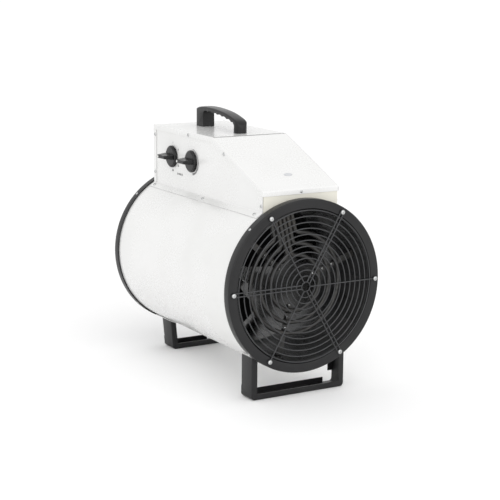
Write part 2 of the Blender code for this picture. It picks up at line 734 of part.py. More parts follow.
def build_ends():
    """Front and rear panels of the box."""
    half = BOX_HALF_W - 2 * SHEET - 2 * GAP
    line = roof(SHEET + GAP, SHEET + GAP)
    front = BOX_FRONT + SHEET + GAP
    bm = bmesh.new()
    add_box(bm, (-half, front, AXIS_Z + 0.10), (half, front + SHEET, line[2][1] - 0.0002))
    panel = finish("box_front_panel", bm, material("cream_powder_coat", (0.74, 0.72, 0.64), 0.45),
                   smooth=0.0)
    boolean(panel, barrel_tool("cut_front_panel", -0.24, -0.21), "DIFFERENCE")

    # the rear panel is a shallow tray whose edges fold forward over the sides
    start = BOX_REAR + GAP
    base = AXIS_Z + 0.1465
    bm = bmesh.new()
    add_box(bm, (-BOX_HALF_W, start - FOLD, AXIS_Z + 0.10), (BOX_HALF_W, start + SHEET, BOX_TOP))
    panel = finish("box_rear_panel", bm, white(), smooth=0.0)
    bm = bmesh.new()
    inner = BOX_HALF_W - SHEET
    add_box(bm, (-inner, start - 0.03, 0.20), (inner, start, BOX_TOP + 0.02))
    boolean(panel, cutter("cut_rear_tray", bm), "DIFFERENCE")
    bm = bmesh.new()
    add_box(bm, (-0.10, start - 0.03, BOX_TOP - FOLD - GAP), (0.10, start, BOX_TOP + 0.02))
    add_box(bm, (-0.10, start - 0.03, 0.20), (0.0005 - inner, start, base + 0.002))
    add_box(bm, (inner - 0.0005, start - 0.03, 0.20), (0.10, start, base + 0.002))
    boolean(panel, cutter("cut_rear_corners", bm), "DIFFERENCE")
    boolean(panel, barrel_tool("cut_rear_panel", 0.20, 0.24), "DIFFERENCE")
    bm = bmesh.new()
    add_lathe(bm, [(0.0, -0.01), (0.0105, -0.01), (0.0105, 0.01), (0.0, 0.01)], 20,
              (0.045, start, 0.425), "Y", closed=False)
    boolean(panel, cutter("cut_gland_hole", bm), "DIFFERENCE")

    # cable gland: body through the panel, collar outside, dome nut, seal closed
    bm = bmesh.new()
    out = start + SHEET + GAP
    add_lathe(bm, [(0.0, start - 0.012), (0.0100, start - 0.012), (0.0100, out), (0.0140, out),
                   (0.0140, out + 0.005), (0.0125, out + 0.006), (0.0125, out + 0.012),
                   (0.0085, out + 0.017), (0.0055, out + 0.017), (0.0050, out + 0.015),
                   (0.0, out + 0.015)], 16, (0.045, 0.0, 0.425), "Y", closed=False)
    finish("cable_gland", bm, plastic())


def build_badge():
    """Plain oval plate on the slope of the cover."""
    direction, inward = slope_vectors()
    length = 0.0105
    height = 0.0052
    spot = Vector((BOX_BEND, BOX_TOP)) + direction * 0.158
    bm = bmesh.new()
    bottom = []
    top = []
    count = 24
    for i in range(count):
        a = 2 * math.pi * i / count
        x = length * math.cos(a)
        s = height * math.sin(a)
        low = spot + direction * s - inward * GAP
        high = spot + direction * (s * 0.92) - inward * (GAP + 0.0008)
        bottom.append(bm.verts.new((x, low.x, low.y)))
        top.append(bm.verts.new((x * 0.92, high.x, high.y)))
    bm.faces.new(bottom)
    bm.faces.new(list(reversed(top)))
    for i in range(count):
        j = (i + 1) % count
        bm.faces.new((bottom[j], bottom[i], top[i], top[j]))
    finish("oval_badge", bm, steel())


# -------------------------------------------------------------------- handle
def build_handle():
    """Moulded bridge handle: a deep rear post, a slim front post and a sloping arch
    with finger scallops beneath; its ends are round seen from above."""
    base = BOX_TOP + GAP
    rear, front = HANDLE_TOP[0][0], HANDLE_TOP[-1][0]
    outline = [(rear, 0.0)] + list(HANDLE_TOP) + [(front, 0.0), (HANDLE_GAP[0], 0.0)]
    outline.append((HANDLE_GAP[0], 0.0140))
    steps = 6
    for (y0, z0), (y1, z1) in zip(HANDLE_CUSPS, HANDLE_CUSPS[1:]):
        for k in range(steps):
            f = k / steps
            outline.append((y0 + (y1 - y0) * f,
                            z0 + (z1 - z0) * f + SCALLOP * math.sin(math.pi * f)))
    outline.append(HANDLE_CUSPS[-1])
    outline += [(HANDLE_GAP[1], 0.0270), (HANDLE_GAP[1], 0.0)]
    count = len(outline)
    half = HANDLE_W / 2
    layers = []
    for k in (-5, -4, -3, -2, -1, 1, 2, 3, 4, 5):
        angle = math.pi / 2 * abs(k) / 5
        reach = half - HANDLE_ROUND + HANDLE_ROUND * math.sin(angle)
        layers.append((math.copysign(reach, k), HANDLE_ROUND * (1 - math.cos(angle))))
    bm = bmesh.new()
    rings = []
    for x, inset in layers:
        # the last 1.5 mm of width rounds off along the top and under the arch
        over = max(0.0, abs(x) - (half - 0.0015)) / 0.0015
        drop = 0.0015 * (1 - math.sqrt(max(0.0, 1 - over * over)))
        ring = []
        for i, (y, z) in enumerate(outline):
            y0, z0 = outline[i - 1]
            y1, z1 = outline[(i + 1) % count]
            run, rise = y1 - y0, z1 - z0
            size = math.hypot(run, rise)
            move = drop if z > 0 else 0.0
            py = y - move * rise / size
            pz = z + move * run / size
            low = front + inset if py < HANDLE_GAP[0] - 0.001 else -1.0
            high = rear - inset if py > HANDLE_GAP[1] + 0.001 else 1.0
            ring.append(bm.verts.new((x, min(max(py, low), high), base + pz)))
        rings.append(ring)
    for one, two in zip(rings, rings[1:]):
        for i in range(count):
            j = (i + 1) % count
            bm.faces.new((one[i], one[j], two[j], two[i]))
    bm.faces.new(list(reversed(rings[0])))
    bm.faces.new(rings[-1])
    bmesh.ops.recalc_face_normals(bm, faces=bm.faces)
    finish("handle", bm, plastic())


# --------------------------------------------------------------------- knobs
def build_knob(word):
    """Rotary knob with a bar grip; the bar points to the rear at rest."""
    y = KNOBS_Y[word]
    panel = BOX_HALF_W - SHEET - GAP
    start = -panel - 0.0012
    pivot = empty(word + "_axis", (start, y, KNOB_Z))
    bm = bmesh.new()
    add_lathe(bm, [(0.0, -0.0065), (KNOB_R - 0.0035, -0.0065), (KNOB_R - 0.0010, -0.0045),
                   (KNOB_R, -0.0030), (KNOB_R, 0.0), (SPINDLE_R + GAP, 0.0),
                   (SPINDLE_R + GAP, -0.004), (0.0, -0.004)], 32, axis="X", closed=False)
    knob = finish(word + "_knob", bm, plastic(), parent=pivot)

    # bar grip: thick at the skirt, thin at its outer edge, long toward the pointer
    bm = bmesh.new()
    inner = [(-0.0180, -0.0055), (0.0205, -0.0062), (0.0205, 0.0062), (-0.0180, 0.0055)]
    outer = [(-0.0130, -0.0032), (0.0190, -0.0036), (0.0190, 0.0036), (-0.0130, 0.0032)]
    near = [bm.verts.new((-0.0055, a, b)) for a, b in inner]
    far = [bm.verts.new((-0.0265, a, b)) for a, b in outer]
    bm.faces.new(near)
    bm.faces.new(list(reversed(far)))
    for i in range(4):
        j = (i + 1) % 4
        bm.faces.new((near[j], near[i], far[i], far[j]))
    edges = [e for e in bm.edges if max(v.co.x for v in e.verts) < -0.006
             or abs(e.verts[0].co.x - e.verts[1].co.x) > 0.01]
    bmesh.ops.bevel(bm, geom=edges, offset=0.0014, segments=1, affect="EDGES")
    tool = cutter(word + "_grip", bm)
    tool.parent = pivot
    boolean(knob, tool, "UNION")

    bm = bmesh.new()
    add_lathe(bm, [(0.0, -0.0037), (SPINDLE_R, -0.0037), (SPINDLE_R, 0.016), (0.0, 0.016)], 16,
              axis="X", closed=False)
    finish(word + "_spindle", bm, steel(), parent=pivot)


def build_electrics():
    """Parts inside the box: switch, thermostat, contactor, terminals, cut-out."""
    wall = -(BOX_HALF_W - 2 * SHEET - GAP) + GAP
    hole = SPINDLE_R + GAP

    # switch and thermostat sit behind the panel with a blind bore for the spindle
    for name, word, half_y, half_z, depth in (("selector_switch", "selector", 0.0225, 0.0225, 0.052),
                                              ("thermostat_body", "thermostat", 0.0180, 0.0200, 0.038)):
        y = KNOBS_Y[word]
        bm = bmesh.new()
        add_box(bm, (wall, y - half_y, KNOB_Z - half_z), (wall + depth, y + half_y, KNOB_Z + half_z))
        body = finish(name, bm, gray_plastic(), smooth=0.0)
        mod = body.modifiers.new("edges", "BEVEL")
        mod.width = 0.0015
        mod.segments = 1
        bm = bmesh.new()
        add_lathe(bm, [(0.0, -0.01), (hole, -0.01), (hole, 0.0145), (0.0, 0.0145)], 16,
                  (wall, y, KNOB_Z), "X", closed=False)
        boolean(body, cutter("cut_" + name, bm), "DIFFERENCE")

    # sensing bulb on its capillary, let down into the intake air
    y = KNOBS_Y["thermostat"]
    bm = bmesh.new()
    x = wall + 0.038 + 0.0015
    add_tube(bm, [(x, y, KNOB_Z - 0.010), (x + 0.010, y - 0.004, KNOB_Z - 0.016),
                  (-0.026, 0.044, KNOB_Z - 0.030), (-0.025, 0.040, AXIS_Z + 0.185),
                  (-0.025, 0.040, AXIS_Z + 0.150)], 0.0012, 6)
    bulb = finish("thermostat_bulb", bm, material("copper", (0.60, 0.33, 0.20), 0.35, 1.0))
    bm = bmesh.new()
    add_lathe(bm, [(0.0, -0.090), (0.0024, -0.088), (0.0032, -0.086), (0.0032, -0.020),
                   (0.0020, -0.017), (0.0, -0.017)], 12, (-0.025, 0.040, AXIS_Z + 0.168), "Z",
              closed=False)
    boolean(bulb, cutter("bulb_body", bm), "UNION")

    # component plate on the right side panel
    side = BOX_HALF_W - 2 * SHEET - 2 * GAP
    bm = bmesh.new()
    add_box(bm, (side - 0.0015, -0.020, 0.380), (side, 0.205, 0.470))
    finish("component_plate", bm, steel(), smooth=0.0)
    face = side - 0.0015 - GAP

    # contactor: stepped block with rows of terminals
    bm = bmesh.new()
    outline = [(0.0, 0.0), (0.0, 0.080), (0.030, 0.080), (0.030, 0.066), (0.062, 0.066),
               (0.062, 0.014), (0.030, 0.014), (0.030, 0.0)]
    add_prism(bm, [(face - a, 0.385 + b) for a, b in outline], "Y", 0.118, 0.163)
    finish("contactor", bm, gray_plastic(), smooth=0.0)

    # terminal block with open screw wells
    bm = bmesh.new()
    add_box(bm, (face - 0.024, 0.010, 0.395), (face, 0.095, 0.427))
    block = finish("terminal_block", bm, gray_plastic(), smooth=0.0)
    bm = bmesh.new()
    for k in range(6):
        y = 0.0185 + 0.0136 * k
        add_box(bm, (face - 0.030, y - 0.0045, 0.4020), (face - 0.012, y + 0.0045, 0.4200))
    boolean(block, cutter("cut_terminals", bm), "DIFFERENCE")

    # overheat cut-out: round body with two blades on a small foot
    bm = bmesh.new()
    add_lathe(bm, [(0.0, 0.0), (0.0125, 0.0), (0.0125, 0.003), (0.0080, 0.003), (0.0080, 0.014),
                   (0.0, 0.014)], 16, (-0.010, -0.080, AXIS_Z + BARREL_R + 0.0006), "Z",
              closed=False)
    finish("overheat_cutout", bm, plastic())

    # run capacitor of the motor, lying along the rear panel
    bm = bmesh.new()
    add_lathe(bm, [(0.0, -0.062), (0.012, -0.062), (0.0140, -0.060), (0.0140, -0.010),
                   (0.0100, -0.008), (0.0, -0.008)], 16, (0.020, 0.180, 0.4600), "X",
              closed=False)
    finish("motor_capacitor", bm, gray_plastic())


clear_scene()
build_barrel()
build_liner()
build_ring("front_ring", -1)
build_ring("rear_ring", 1)
build_guard("front_guard", -1, FRONT_RINGS)
build_guard("rear_guard", 1, REAR_RINGS)
build_elements()
build_fan()
build_motor()
build_leg("front_leg", FRONT_LEG_Y, FRONT_LEG_X)
build_leg("rear_leg", REAR_LEG_Y, REAR_LEG_X)
build_cover()
build_side("box_left_panel", -1)
build_side("box_right_panel", 1)
build_ends()
build_badge()
build_handle()
build_knob("selector")
build_knob("thermostat")
build_electrics()
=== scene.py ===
"""Looks of a round electric fan heater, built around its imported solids."""
import math

import bmesh
import bpy
from mathutils import Matrix, Vector


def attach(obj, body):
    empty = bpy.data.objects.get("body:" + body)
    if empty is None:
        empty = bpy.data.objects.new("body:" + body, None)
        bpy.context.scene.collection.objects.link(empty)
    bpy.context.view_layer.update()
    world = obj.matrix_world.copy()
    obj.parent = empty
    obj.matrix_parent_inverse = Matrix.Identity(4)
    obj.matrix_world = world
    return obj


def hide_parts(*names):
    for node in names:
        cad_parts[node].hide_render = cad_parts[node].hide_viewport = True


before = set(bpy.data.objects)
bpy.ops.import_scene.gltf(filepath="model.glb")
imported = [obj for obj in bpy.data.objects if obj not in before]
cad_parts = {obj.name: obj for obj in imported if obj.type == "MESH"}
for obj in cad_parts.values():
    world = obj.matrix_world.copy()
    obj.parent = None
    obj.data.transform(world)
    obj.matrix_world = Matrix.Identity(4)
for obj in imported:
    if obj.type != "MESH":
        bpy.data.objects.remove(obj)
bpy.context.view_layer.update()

# ---------------------------------------------------------------- the barrel
# One steel sheet rolled into a tube, powder coated white outside and painted near black
# inside: painted shade for the dark inside of the barrel.  Its ends sit inside the two
# black rings; the control box and both legs are fixed to it.
AXIS_Z = 0.2185
HALF_LENGTH = 0.2475
BARREL_R = 0.167
BARREL_SHEET = 0.0012
RING_SHEET = 0.0015
GAP = 0.0003
# Near black colour painted inside the barrel: painted shade.
INSIDE_SHADE = (0.012, 0.012, 0.012, 1.0)


class Shade:
    """A shader socket.  Sums, differences and products of sockets add Math nodes."""

    def __init__(self, tree, socket=None):
        self.tree = tree
        self.socket = socket

    def node(self, kind, settings, values, output=0):
        made = self.tree.nodes.new(kind)
        for key, value in settings.items():
            setattr(made, key, value)
        for key, value in values.items():
            if isinstance(value, Shade):
                self.tree.links.new(value.socket, made.inputs[key])
            else:
                made.inputs[key].default_value = value
        return Shade(self.tree, made.outputs[output] if made.outputs else None)

    def math(self, operation, one, two, clamp=False):
        return self.node("ShaderNodeMath", {"operation": operation, "use_clamp": clamp},
                         {0: one, 1: two})

    def __add__(self, other):
        return self.math("ADD", self, other)

    def __radd__(self, other):
        return self.math("ADD", other, self)

    def __sub__(self, other):
        return self.math("SUBTRACT", self, other)

    def __rsub__(self, other):
        return self.math("SUBTRACT", other, self)

    def __mul__(self, other):
        return self.math("MULTIPLY", self, other)

    def __rmul__(self, other):
        return self.math("MULTIPLY", other, self)

    def over(self, low, high):
        """0 below low, 1 above high, smooth between."""
        return self.node("ShaderNodeMapRange", {"interpolation_type": "SMOOTHSTEP"},
                         {"Value": self, "From Min": low, "From Max": high})

    def blend(self, one, two):
        """Colour that goes from one to two as this value goes from 0 to 1."""
        return self.node("ShaderNodeMix", {"data_type": "RGBA"}, {0: self, 6: one, 7: two}, 2)

    def noise(self, scale, detail=2.0, stretch=(1.0, 1.0, 1.0), rough=0.5):
        place = self.node("ShaderNodeTexCoord", {}, {}, "Object")
        place = self.node("ShaderNodeVectorMath", {"operation": "MULTIPLY"}, {0: place, 1: stretch})
        return self.node("ShaderNodeTexNoise", {},
                         {"Vector": place, "Scale": scale, "Detail": detail, "Roughness": rough})

    def height(self, axis):
        place = self.node("ShaderNodeTexCoord", {}, {}, "Object")
        return self.node("ShaderNodeSeparateXYZ", {}, {"Vector": place}, axis)

    def bump(self, distance, strength=1.0):
        return self.node("ShaderNodeBump", {}, {"Height": self, "Distance": distance,
                                                "Strength": strength})


def new_finish(name):
    """An empty material and a bare shade in its node tree."""
    made = bpy.data.materials.new(name)
    made.use_nodes = True
    made.node_tree.nodes.clear()
    return made, Shade(made.node_tree)


def close_finish(made, shade, values):
    surface = shade.node("ShaderNodeBsdfPrincipled", {}, values)
    shade.node("ShaderNodeOutputMaterial", {}, {"Surface": surface})
    return made


def powder_coat(name, color, dusty, roughness, peel=0.00010, coat=0.0, scuffs=0.25, shine=0.5,
                metal=0.0, inside_shade_radius=None):
    """Baked powder: orange peel, fine grain, cloudy gloss, rare scuffs and settled dust.
    Given a radius about the barrel's axis as its last argument, it paints the colour near black inside
    that radius: painted shade."""
    made, shade = new_finish(name)
    cloud = shade.noise(9.0, 4.0)
    orange = shade.noise(330.0, 2.0)
    grain = shade.noise(1700.0, 1.0)
    scuff = shade.noise(60.0, 6.0, (1.0, 1.0, 3.0), 0.7).over(0.66, 0.74)
    dust = cloud.over(0.35, 0.75)
    tone = (dust * 0.45 + scuff * scuffs).blend((*color, 1.0), (*dusty, 1.0))
    # Painted shade: inside the given radius the colour turns near black.
    if inside_shade_radius:
        x, z = shade.height("X"), shade.height("Z") + (-AXIS_Z)
        outside = (x * x + z * z).over((inside_shade_radius - 0.0001) ** 2, (inside_shade_radius + 0.0001) ** 2)
        tone = outside.blend(INSIDE_SHADE, tone)
    gloss = cloud * 0.10 + scuff * 0.16 + orange * 0.05 + (roughness - 0.08)
    relief = (orange * 0.8 + grain * 0.2).bump(peel)
    return close_finish(made, shade, {"Base Color": tone, "Roughness": gloss, "Normal": relief,
                                      "Coat Weight": coat, "Coat Roughness": 0.12,
                                      "Specular IOR Level": shine, "Metallic": metal})


def rounded(points, steps=4):
    """Outline with each corner (a, b, radius) filleted."""
    outline = []
    count = len(points)
    for i, (a, b, radius) in enumerate(points):
        here = Vector((a, b))
        if radius <= 0.0:
            outline.append(here)
            continue
        before = (Vector(points[i - 1][:2]) - here).normalized()
        after = (Vector(points[(i + 1) % count][:2]) - here).normalized()
        half = before.angle(after) / 2
        reach = radius / math.tan(half)
        center = here + (before + after).normalized() * (radius / math.sin(half))
        start = here + before * reach - center
        end = here + after * reach - center
        sweep = start.angle_signed(end)
        for k in range(steps + 1):
            turn = Matrix.Rotation(-sweep * k / steps, 2)
            outline.append(center + turn @ start)
    return [(p.x, p.y) for p in outline]


def lathe(bm, profile, segments, center=(0.0, 0.0, AXIS_Z), axis="Y", closed=True):
    """Turn (radius, position) points about an axis; an open profile ends on the axis."""
    loops = []
    for radius, along in profile:
        ring = []
        for i in range(segments if radius > 1e-9 else 1):
            a = radius * math.cos(2 * math.pi * i / segments)
            b = radius * math.sin(2 * math.pi * i / segments)
            local = {"X": (along, a, b), "Y": (a, along, b), "Z": (a, b, along)}[axis]
            ring.append(bm.verts.new(Vector(center) + Vector(local)))
        loops.append(ring)
    pairs = list(zip(loops, loops[1:]))
    if closed:
        pairs.append((loops[-1], loops[0]))
    for one, two in pairs:
        for i in range(segments):
            j = (i + 1) % segments
            corners = [one[i % len(one)], two[i % len(two)], two[j % len(two)], one[j % len(one)]]
            corners = list(dict.fromkeys(corners))
            if len(corners) > 2:
                bm.faces.new(corners)


def prism(bm, outline, axis, low, high):
    """Extrude an outline: X takes (y, z) points, Y takes (x, z), Z takes (x, y)."""
    def place(p, along):
        return {"X": (along, p[0], p[1]), "Y": (p[0], along, p[1]), "Z": (p[0], p[1], along)}[axis]
    near = [bm.verts.new(place(p, low)) for p in outline]
    far = [bm.verts.new(place(p, high)) for p in outline]
    bm.faces.new(near)
    bm.faces.new(list(reversed(far)))
    for i in range(len(outline)):
        j = (i + 1) % len(outline)
        bm.faces.new((near[j], near[i], far[i], far[j]))
    return near + far


def piece(name, bm, finish, nodes=(), body="heater", crease=40.0):
    """Make an object from a mesh; it rides on a body and stands for its solids."""
    bmesh.ops.recalc_face_normals(bm, faces=bm.faces)
    mesh = bpy.data.meshes.new(name)
    bm.to_mesh(mesh)
    bm.free()
    for face in mesh.polygons:
        face.use_smooth = True
    mesh.set_sharp_from_angle(angle=math.radians(crease))
    mesh.materials.append(finish)
    made = bpy.data.objects.new(name, mesh)
    bpy.context.scene.collection.objects.link(made)
    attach(made, body)
    if nodes:
        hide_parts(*nodes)
    return made


def soften(made, width, segments=2, angle=50.0):
    """Round the edges of a piece and keep its flats flat."""
    mod = made.modifiers.new("soft_edges", "BEVEL")
    mod.width = width
    mod.segments = segments
    mod.limit_method = "ANGLE"
    mod.angle_limit = math.radians(angle)
    mod.harden_normals = True


def trim(made, bm):
    """Cut a shape out of a piece."""
    bmesh.ops.recalc_face_normals(bm, faces=bm.faces)
    mesh = bpy.data.meshes.new("trim")
    bm.to_mesh(mesh)
    bm.free()
    tool = bpy.data.objects.new("trim", mesh)
    bpy.context.scene.collection.objects.link(tool)
    mod = made.modifiers.new("trim", "BOOLEAN")
    mod.operation = "DIFFERENCE"
    mod.solver = "EXACT"
    mod.object = tool
    bpy.context.view_layer.update()
    cut = bpy.data.meshes.new_from_object(made.evaluated_get(bpy.context.evaluated_depsgraph_get()))
    made.modifiers.remove(mod)
    made.data = cut
    bpy.data.objects.remove(tool)


white_coat = powder_coat("white_powder_coat", (0.755, 0.755, 0.748), (0.68, 0.68, 0.665), 0.28,
                         peel=0.00004, coat=0.35)
# The barrel's coat also paints its inside near black as painted shade.
barrel_coat_and_inside_shade = powder_coat("barrel_powder_coat_and_inside_shade", (0.755, 0.755, 0.748), (0.68, 0.68, 0.665), 0.28,
                          peel=0.00004, coat=0.35, inside_shade_radius=BARREL_R - BARREL_SHEET * 0.5)

end = HALF_LENGTH - RING_SHEET - GAP
bm = bmesh.new()
inner_r = BARREL_R - BARREL_SHEET
stations = [end * (1 - k / 6) for k in range(13)]
lathe(bm, [(BARREL_R, y) for y in stations] + [(inner_r, y) for y in reversed(stations)], 144)
piece("barrel_sheet", bm, barrel_coat_and_inside_shade, ("barrel",))

# ------------------------------------------------------------ heat shield
# A dark enamelled tube inside the outlet keeps the barrel cool.  A collar at
# its rear joins it to the barrel; a window at its top lets the element ends out.
LINER_R = 0.149
LINER_SHEET = 0.0010
LINER_BACK = -0.060
ELEMENT_Y = -0.2075
LEAD_ANGLE = math.radians(104.0)


def heat_enamel():
    made, shade = new_finish("dark_heat_enamel")
    streak = shade.noise(30.0, 4.0, (1.0, 0.15, 1.0))
    speck = shade.noise(900.0, 2.0)
    hot = shade.height("Y").over(-0.13, -0.20)
    tone = (streak * 0.5 + hot * 0.3).blend((0.052, 0.054, 0.058, 1.0), (0.074, 0.073, 0.071, 1.0))
    gloss = streak * 0.14 + speck * 0.06 + 0.17
    relief = (speck + streak * 2.0).bump(0.00010, 0.5)
    return close_finish(made, shade, {"Base Color": tone, "Roughness": gloss, "Metallic": 0.35,
                                      "Normal": relief})


def on_axis(angle, radius, y):
    """Point at an angle and radius about the barrel's axis."""
    return Vector((radius * math.cos(angle), y, AXIS_Z + radius * math.sin(angle)))


def turned(bm, verts, angle):
    """Turn vertices about the barrel's axis."""
    bmesh.ops.rotate(bm, verts=verts, cent=(0.0, 0.0, AXIS_Z),
                     matrix=Matrix.Rotation(-angle, 3, "Y"))


enamel = heat_enamel()
front = -HALF_LENGTH + 0.005
r_out = LINER_R
r_in = LINER_R - LINER_SHEET
collar = BARREL_R - BARREL_SHEET - GAP
bm = bmesh.new()
lathe(bm, rounded([(r_out, front, 0.0003), (r_out, LINER_BACK - LINER_SHEET, 0.002),
                   (collar, LINER_BACK - LINER_SHEET, 0.0), (collar, LINER_BACK, 0.0),
                   (r_in, LINER_BACK, 0.003), (r_in, front, 0.0003)]), 128)
liner = piece("heat_shield", bm, enamel, ("inner_liner",))
bm = bmesh.new()
verts = prism(bm, [(0.140, ELEMENT_Y - 0.009), (0.156, ELEMENT_Y - 0.009),
                   (0.156, ELEMENT_Y + 0.009), (0.140, ELEMENT_Y + 0.009)],
              "Z", AXIS_Z - 0.0293, AXIS_Z + 0.0293)
turned(bm, verts, LEAD_ANGLE)
trim(liner, bm)

# --------------------------------------------------------------- end rings
# Pressed steel rings with a flat flange, a rim turned back over the barrel and
# a rolled inner lip, in satin black powder.  Small screws hold the rims.
RING_R = 0.170
RING_DEPTH = 0.018
MOUTH_R = 0.151
SCREW_R = 0.160

black_coat = powder_coat("black_powder_coat", (0.010, 0.010, 0.011), (0.022, 0.022, 0.021), 0.36,
                         peel=0.00014, scuffs=0.35, shine=0.32)


def zinc_plate():
    made, shade = new_finish("zinc_plated_steel")
    cloud = shade.noise(240.0, 3.0)
    line = shade.noise(420.0, 2.0, (1.0, 1.0, 0.06))
    tone = cloud.over(0.35, 0.7).blend((0.62, 0.63, 0.64, 1.0), (0.47, 0.47, 0.45, 1.0))
    gloss = cloud * 0.22 + line * 0.12 + 0.10
    return close_finish(made, shade, {"Base Color": tone, "Roughness": gloss, "Metallic": 1.0,
                                      "Normal": line.bump(0.00005, 0.6)})


zinc = zinc_plate()


def end_ring(name, sign):
    face = sign * HALF_LENGTH

    def at(depth):
        return face - sign * depth
    outline = [(RING_R, at(RING_DEPTH), 0.0004), (RING_R, at(0.0), 0.0024),
               (MOUTH_R, at(0.0), 0.0022), (MOUTH_R, at(0.008), 0.0005),
               (MOUTH_R + RING_SHEET, at(0.008), 0.0005),
               (MOUTH_R + RING_SHEET, at(RING_SHEET), 0.0008),
               (RING_R - RING_SHEET, at(RING_SHEET), 0.0010),
               (RING_R - RING_SHEET, at(RING_DEPTH), 0.0004)]
    bm = bmesh.new()
    lathe(bm, rounded(outline), 144)
    return piece(name + "_pressing", bm, black_coat, (name,))


end_ring("front_ring", -1)
end_ring("rear_ring", 1)


def screw_mesh():
    """Pan head with a cross recess, 1 mm high steps, head radius 1."""
    bm = bmesh.new()
    dome = [(0.0, 0.52), (0.35, 0.51), (0.62, 0.46), (0.82, 0.36), (0.94, 0.22), (1.0, 0.06),
            (1.0, 0.0), (0.0, 0.0)]
    lathe(bm, dome, 28, (0.0, 0.0, 0.0), "Z", closed=False)
    bmesh.ops.recalc_face_normals(bm, faces=bm.faces)
    made = bpy.data.objects.new("screw_head", bpy.data.meshes.new("screw_head"))
    bm.to_mesh(made.data)
    bm.free()
    bpy.context.scene.collection.objects.link(made)
    for one, two in ((0.50, 0.13), (0.13, 0.50)):
        bm = bmesh.new()
        prism(bm, [(-one, -two), (one, -two), (one, two), (-one, two)], "Z", 0.22, 0.8)
        trim(made, bm)
    mesh = made.data
    bpy.data.objects.remove(made)
    for face in mesh.polygons:
        face.use_smooth = True
    mesh.set_sharp_from_angle(angle=math.radians(40.0))
    mesh.materials.clear()
    mesh.materials.append(zinc)
    return mesh


SCREW = screw_mesh()


def drive_screw(name, spot, normal, radius=0.0034, turn=0.0, nodes=(), squat=1.0):
    """Set a screw head on a surface, its slots turned by some angle."""
    made = bpy.data.objects.new(name, SCREW)
    bpy.context.scene.collection.objects.link(made)
    facing = Vector((0.0, 0.0, 1.0)).rotation_difference(Vector(normal)).to_matrix().to_4x4()
    made.matrix_world = (Matrix.Translation(spot) @ facing @ Matrix.Rotation(turn, 4, "Z")
                         @ Matrix.Diagonal((radius, radius, radius * squat, 1.0)))
    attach(made, "heater")
    if nodes:
        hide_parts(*nodes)
    return made


for word, sign in (("front", -1), ("rear", 1)):
    for k, degrees in enumerate((45, 135, 225, 315)):
        a = math.radians(degrees)
        out = (math.cos(a), 0.0, math.sin(a))
        drive_screw("{}_rim_screw_{}".format(word, k + 1),
                    on_axis(a, RING_R, sign * (HALF_LENGTH - RING_DEPTH / 2)), out, 0.0030, k * 0.7)

# -------------------------------------------------------- heating elements
# Three bent tubes of heat resisting steel, one inside the other; both ends of
# each rise into the box.  Steel straps carry them, with a clip over each tube.
TUBE_R = 0.00425
LEAD_END_R = 0.184
ELEMENTS = (("outer", 0.100, 0.0240), ("middle", 0.078, 0.0140), ("inner", 0.055, 0.0047))
STRAPS = (18, 138, 258)


def sheath_steel():
    made, shade = new_finish("heater_tube_steel")
    scale = shade.noise(150.0, 5.0)
    patch = shade.noise(28.0, 3.0)
    tone = scale.over(0.30, 0.70).blend((0.072, 0.071, 0.069, 1.0), (0.050, 0.049, 0.048, 1.0))
    tone = patch.over(0.50, 0.80).blend(tone, (0.078, 0.072, 0.064, 1.0))
    gloss = scale * 0.14 + patch * 0.10 + 0.28
    return close_finish(made, shade, {"Base Color": tone, "Roughness": gloss, "Metallic": 0.7,
                                      "Normal": scale.bump(0.00005, 0.5)})


def tube(bm, points, radius, sides, closed=False):
    """Sweep a round section along points, with flat ends or as a loop."""
    points = [Vector(p) for p in points]
    count = len(points)
    tangents = []
    for i in range(count):
        before = points[i - 1] if closed or i else points[0]
        after = points[(i + 1) % count] if closed or i < count - 1 else points[-1]
        tangents.append((after - before).normalized())
    guide = Vector((0.0, 1.0, 0.0))
    if abs(tangents[0].dot(guide)) > 0.9:
        guide = Vector((1.0, 0.0, 0.0))
    normal = (guide - tangents[0] * guide.dot(tangents[0])).normalized()
    loops = []
    for i, tangent in enumerate(tangents):
        if i:
            normal = (tangents[i - 1].rotation_difference(tangent) @ normal).normalized()
        side = tangent.cross(normal)
        loops.append([bm.verts.new(points[i] + (normal * math.cos(2 * math.pi * k / sides)
                                                + side * math.sin(2 * math.pi * k / sides)) * radius)
                      for k in range(sides)])
    pairs = list(zip(loops, loops[1:]))
    if closed:
        pairs.append((loops[-1], loops[0]))
    for one, two in pairs:
        for k in range(sides):
            m = (k + 1) % sides
            bm.faces.new((one[k], two[k], two[m], one[m]))
    if not closed:
        bm.faces.new(list(reversed(loops[0])))
        bm.faces.new(loops[-1])


def element_path(radius, offset):
    """Ring of tube whose two ends turn outward, side by side, toward the box."""
    out = Vector((math.cos(LEAD_ANGLE), 0.0, math.sin(LEAD_ANGLE)))
    side = Vector((-math.sin(LEAD_ANGLE), 0.0, math.cos(LEAD_ANGLE)))
    base = Vector((0.0, ELEMENT_Y, AXIS_Z))
    bend = 0.010
    start = math.asin((offset + bend) / (radius + bend))
    corner = (radius + bend) * math.cos(start)
    halves = []
    for way in (1, -1):
        half = [base + out * LEAD_END_R + side * offset * way]
        for k in range(9):
            a = (math.pi / 2 - start) * k / 8
            half.append(base + out * (corner - bend * math.sin(a))
                        + side * way * (offset + bend - bend * math.cos(a)))
        halves.append(half)
    ring = []
    for k in range(1, 96):
        ring.append(on_axis(LEAD_ANGLE + start + (2 * math.pi - 2 * start) * k / 96, radius, ELEMENT_Y))
    return halves[0] + ring + list(reversed(halves[1]))


sheath = sheath_steel()
for word, radius, offset in ELEMENTS:
    bm = bmesh.new()
    tube(bm, element_path(radius, offset), TUBE_R, 18)
    piece("element_" + word, bm, sheath, ("heating_element_" + word,))

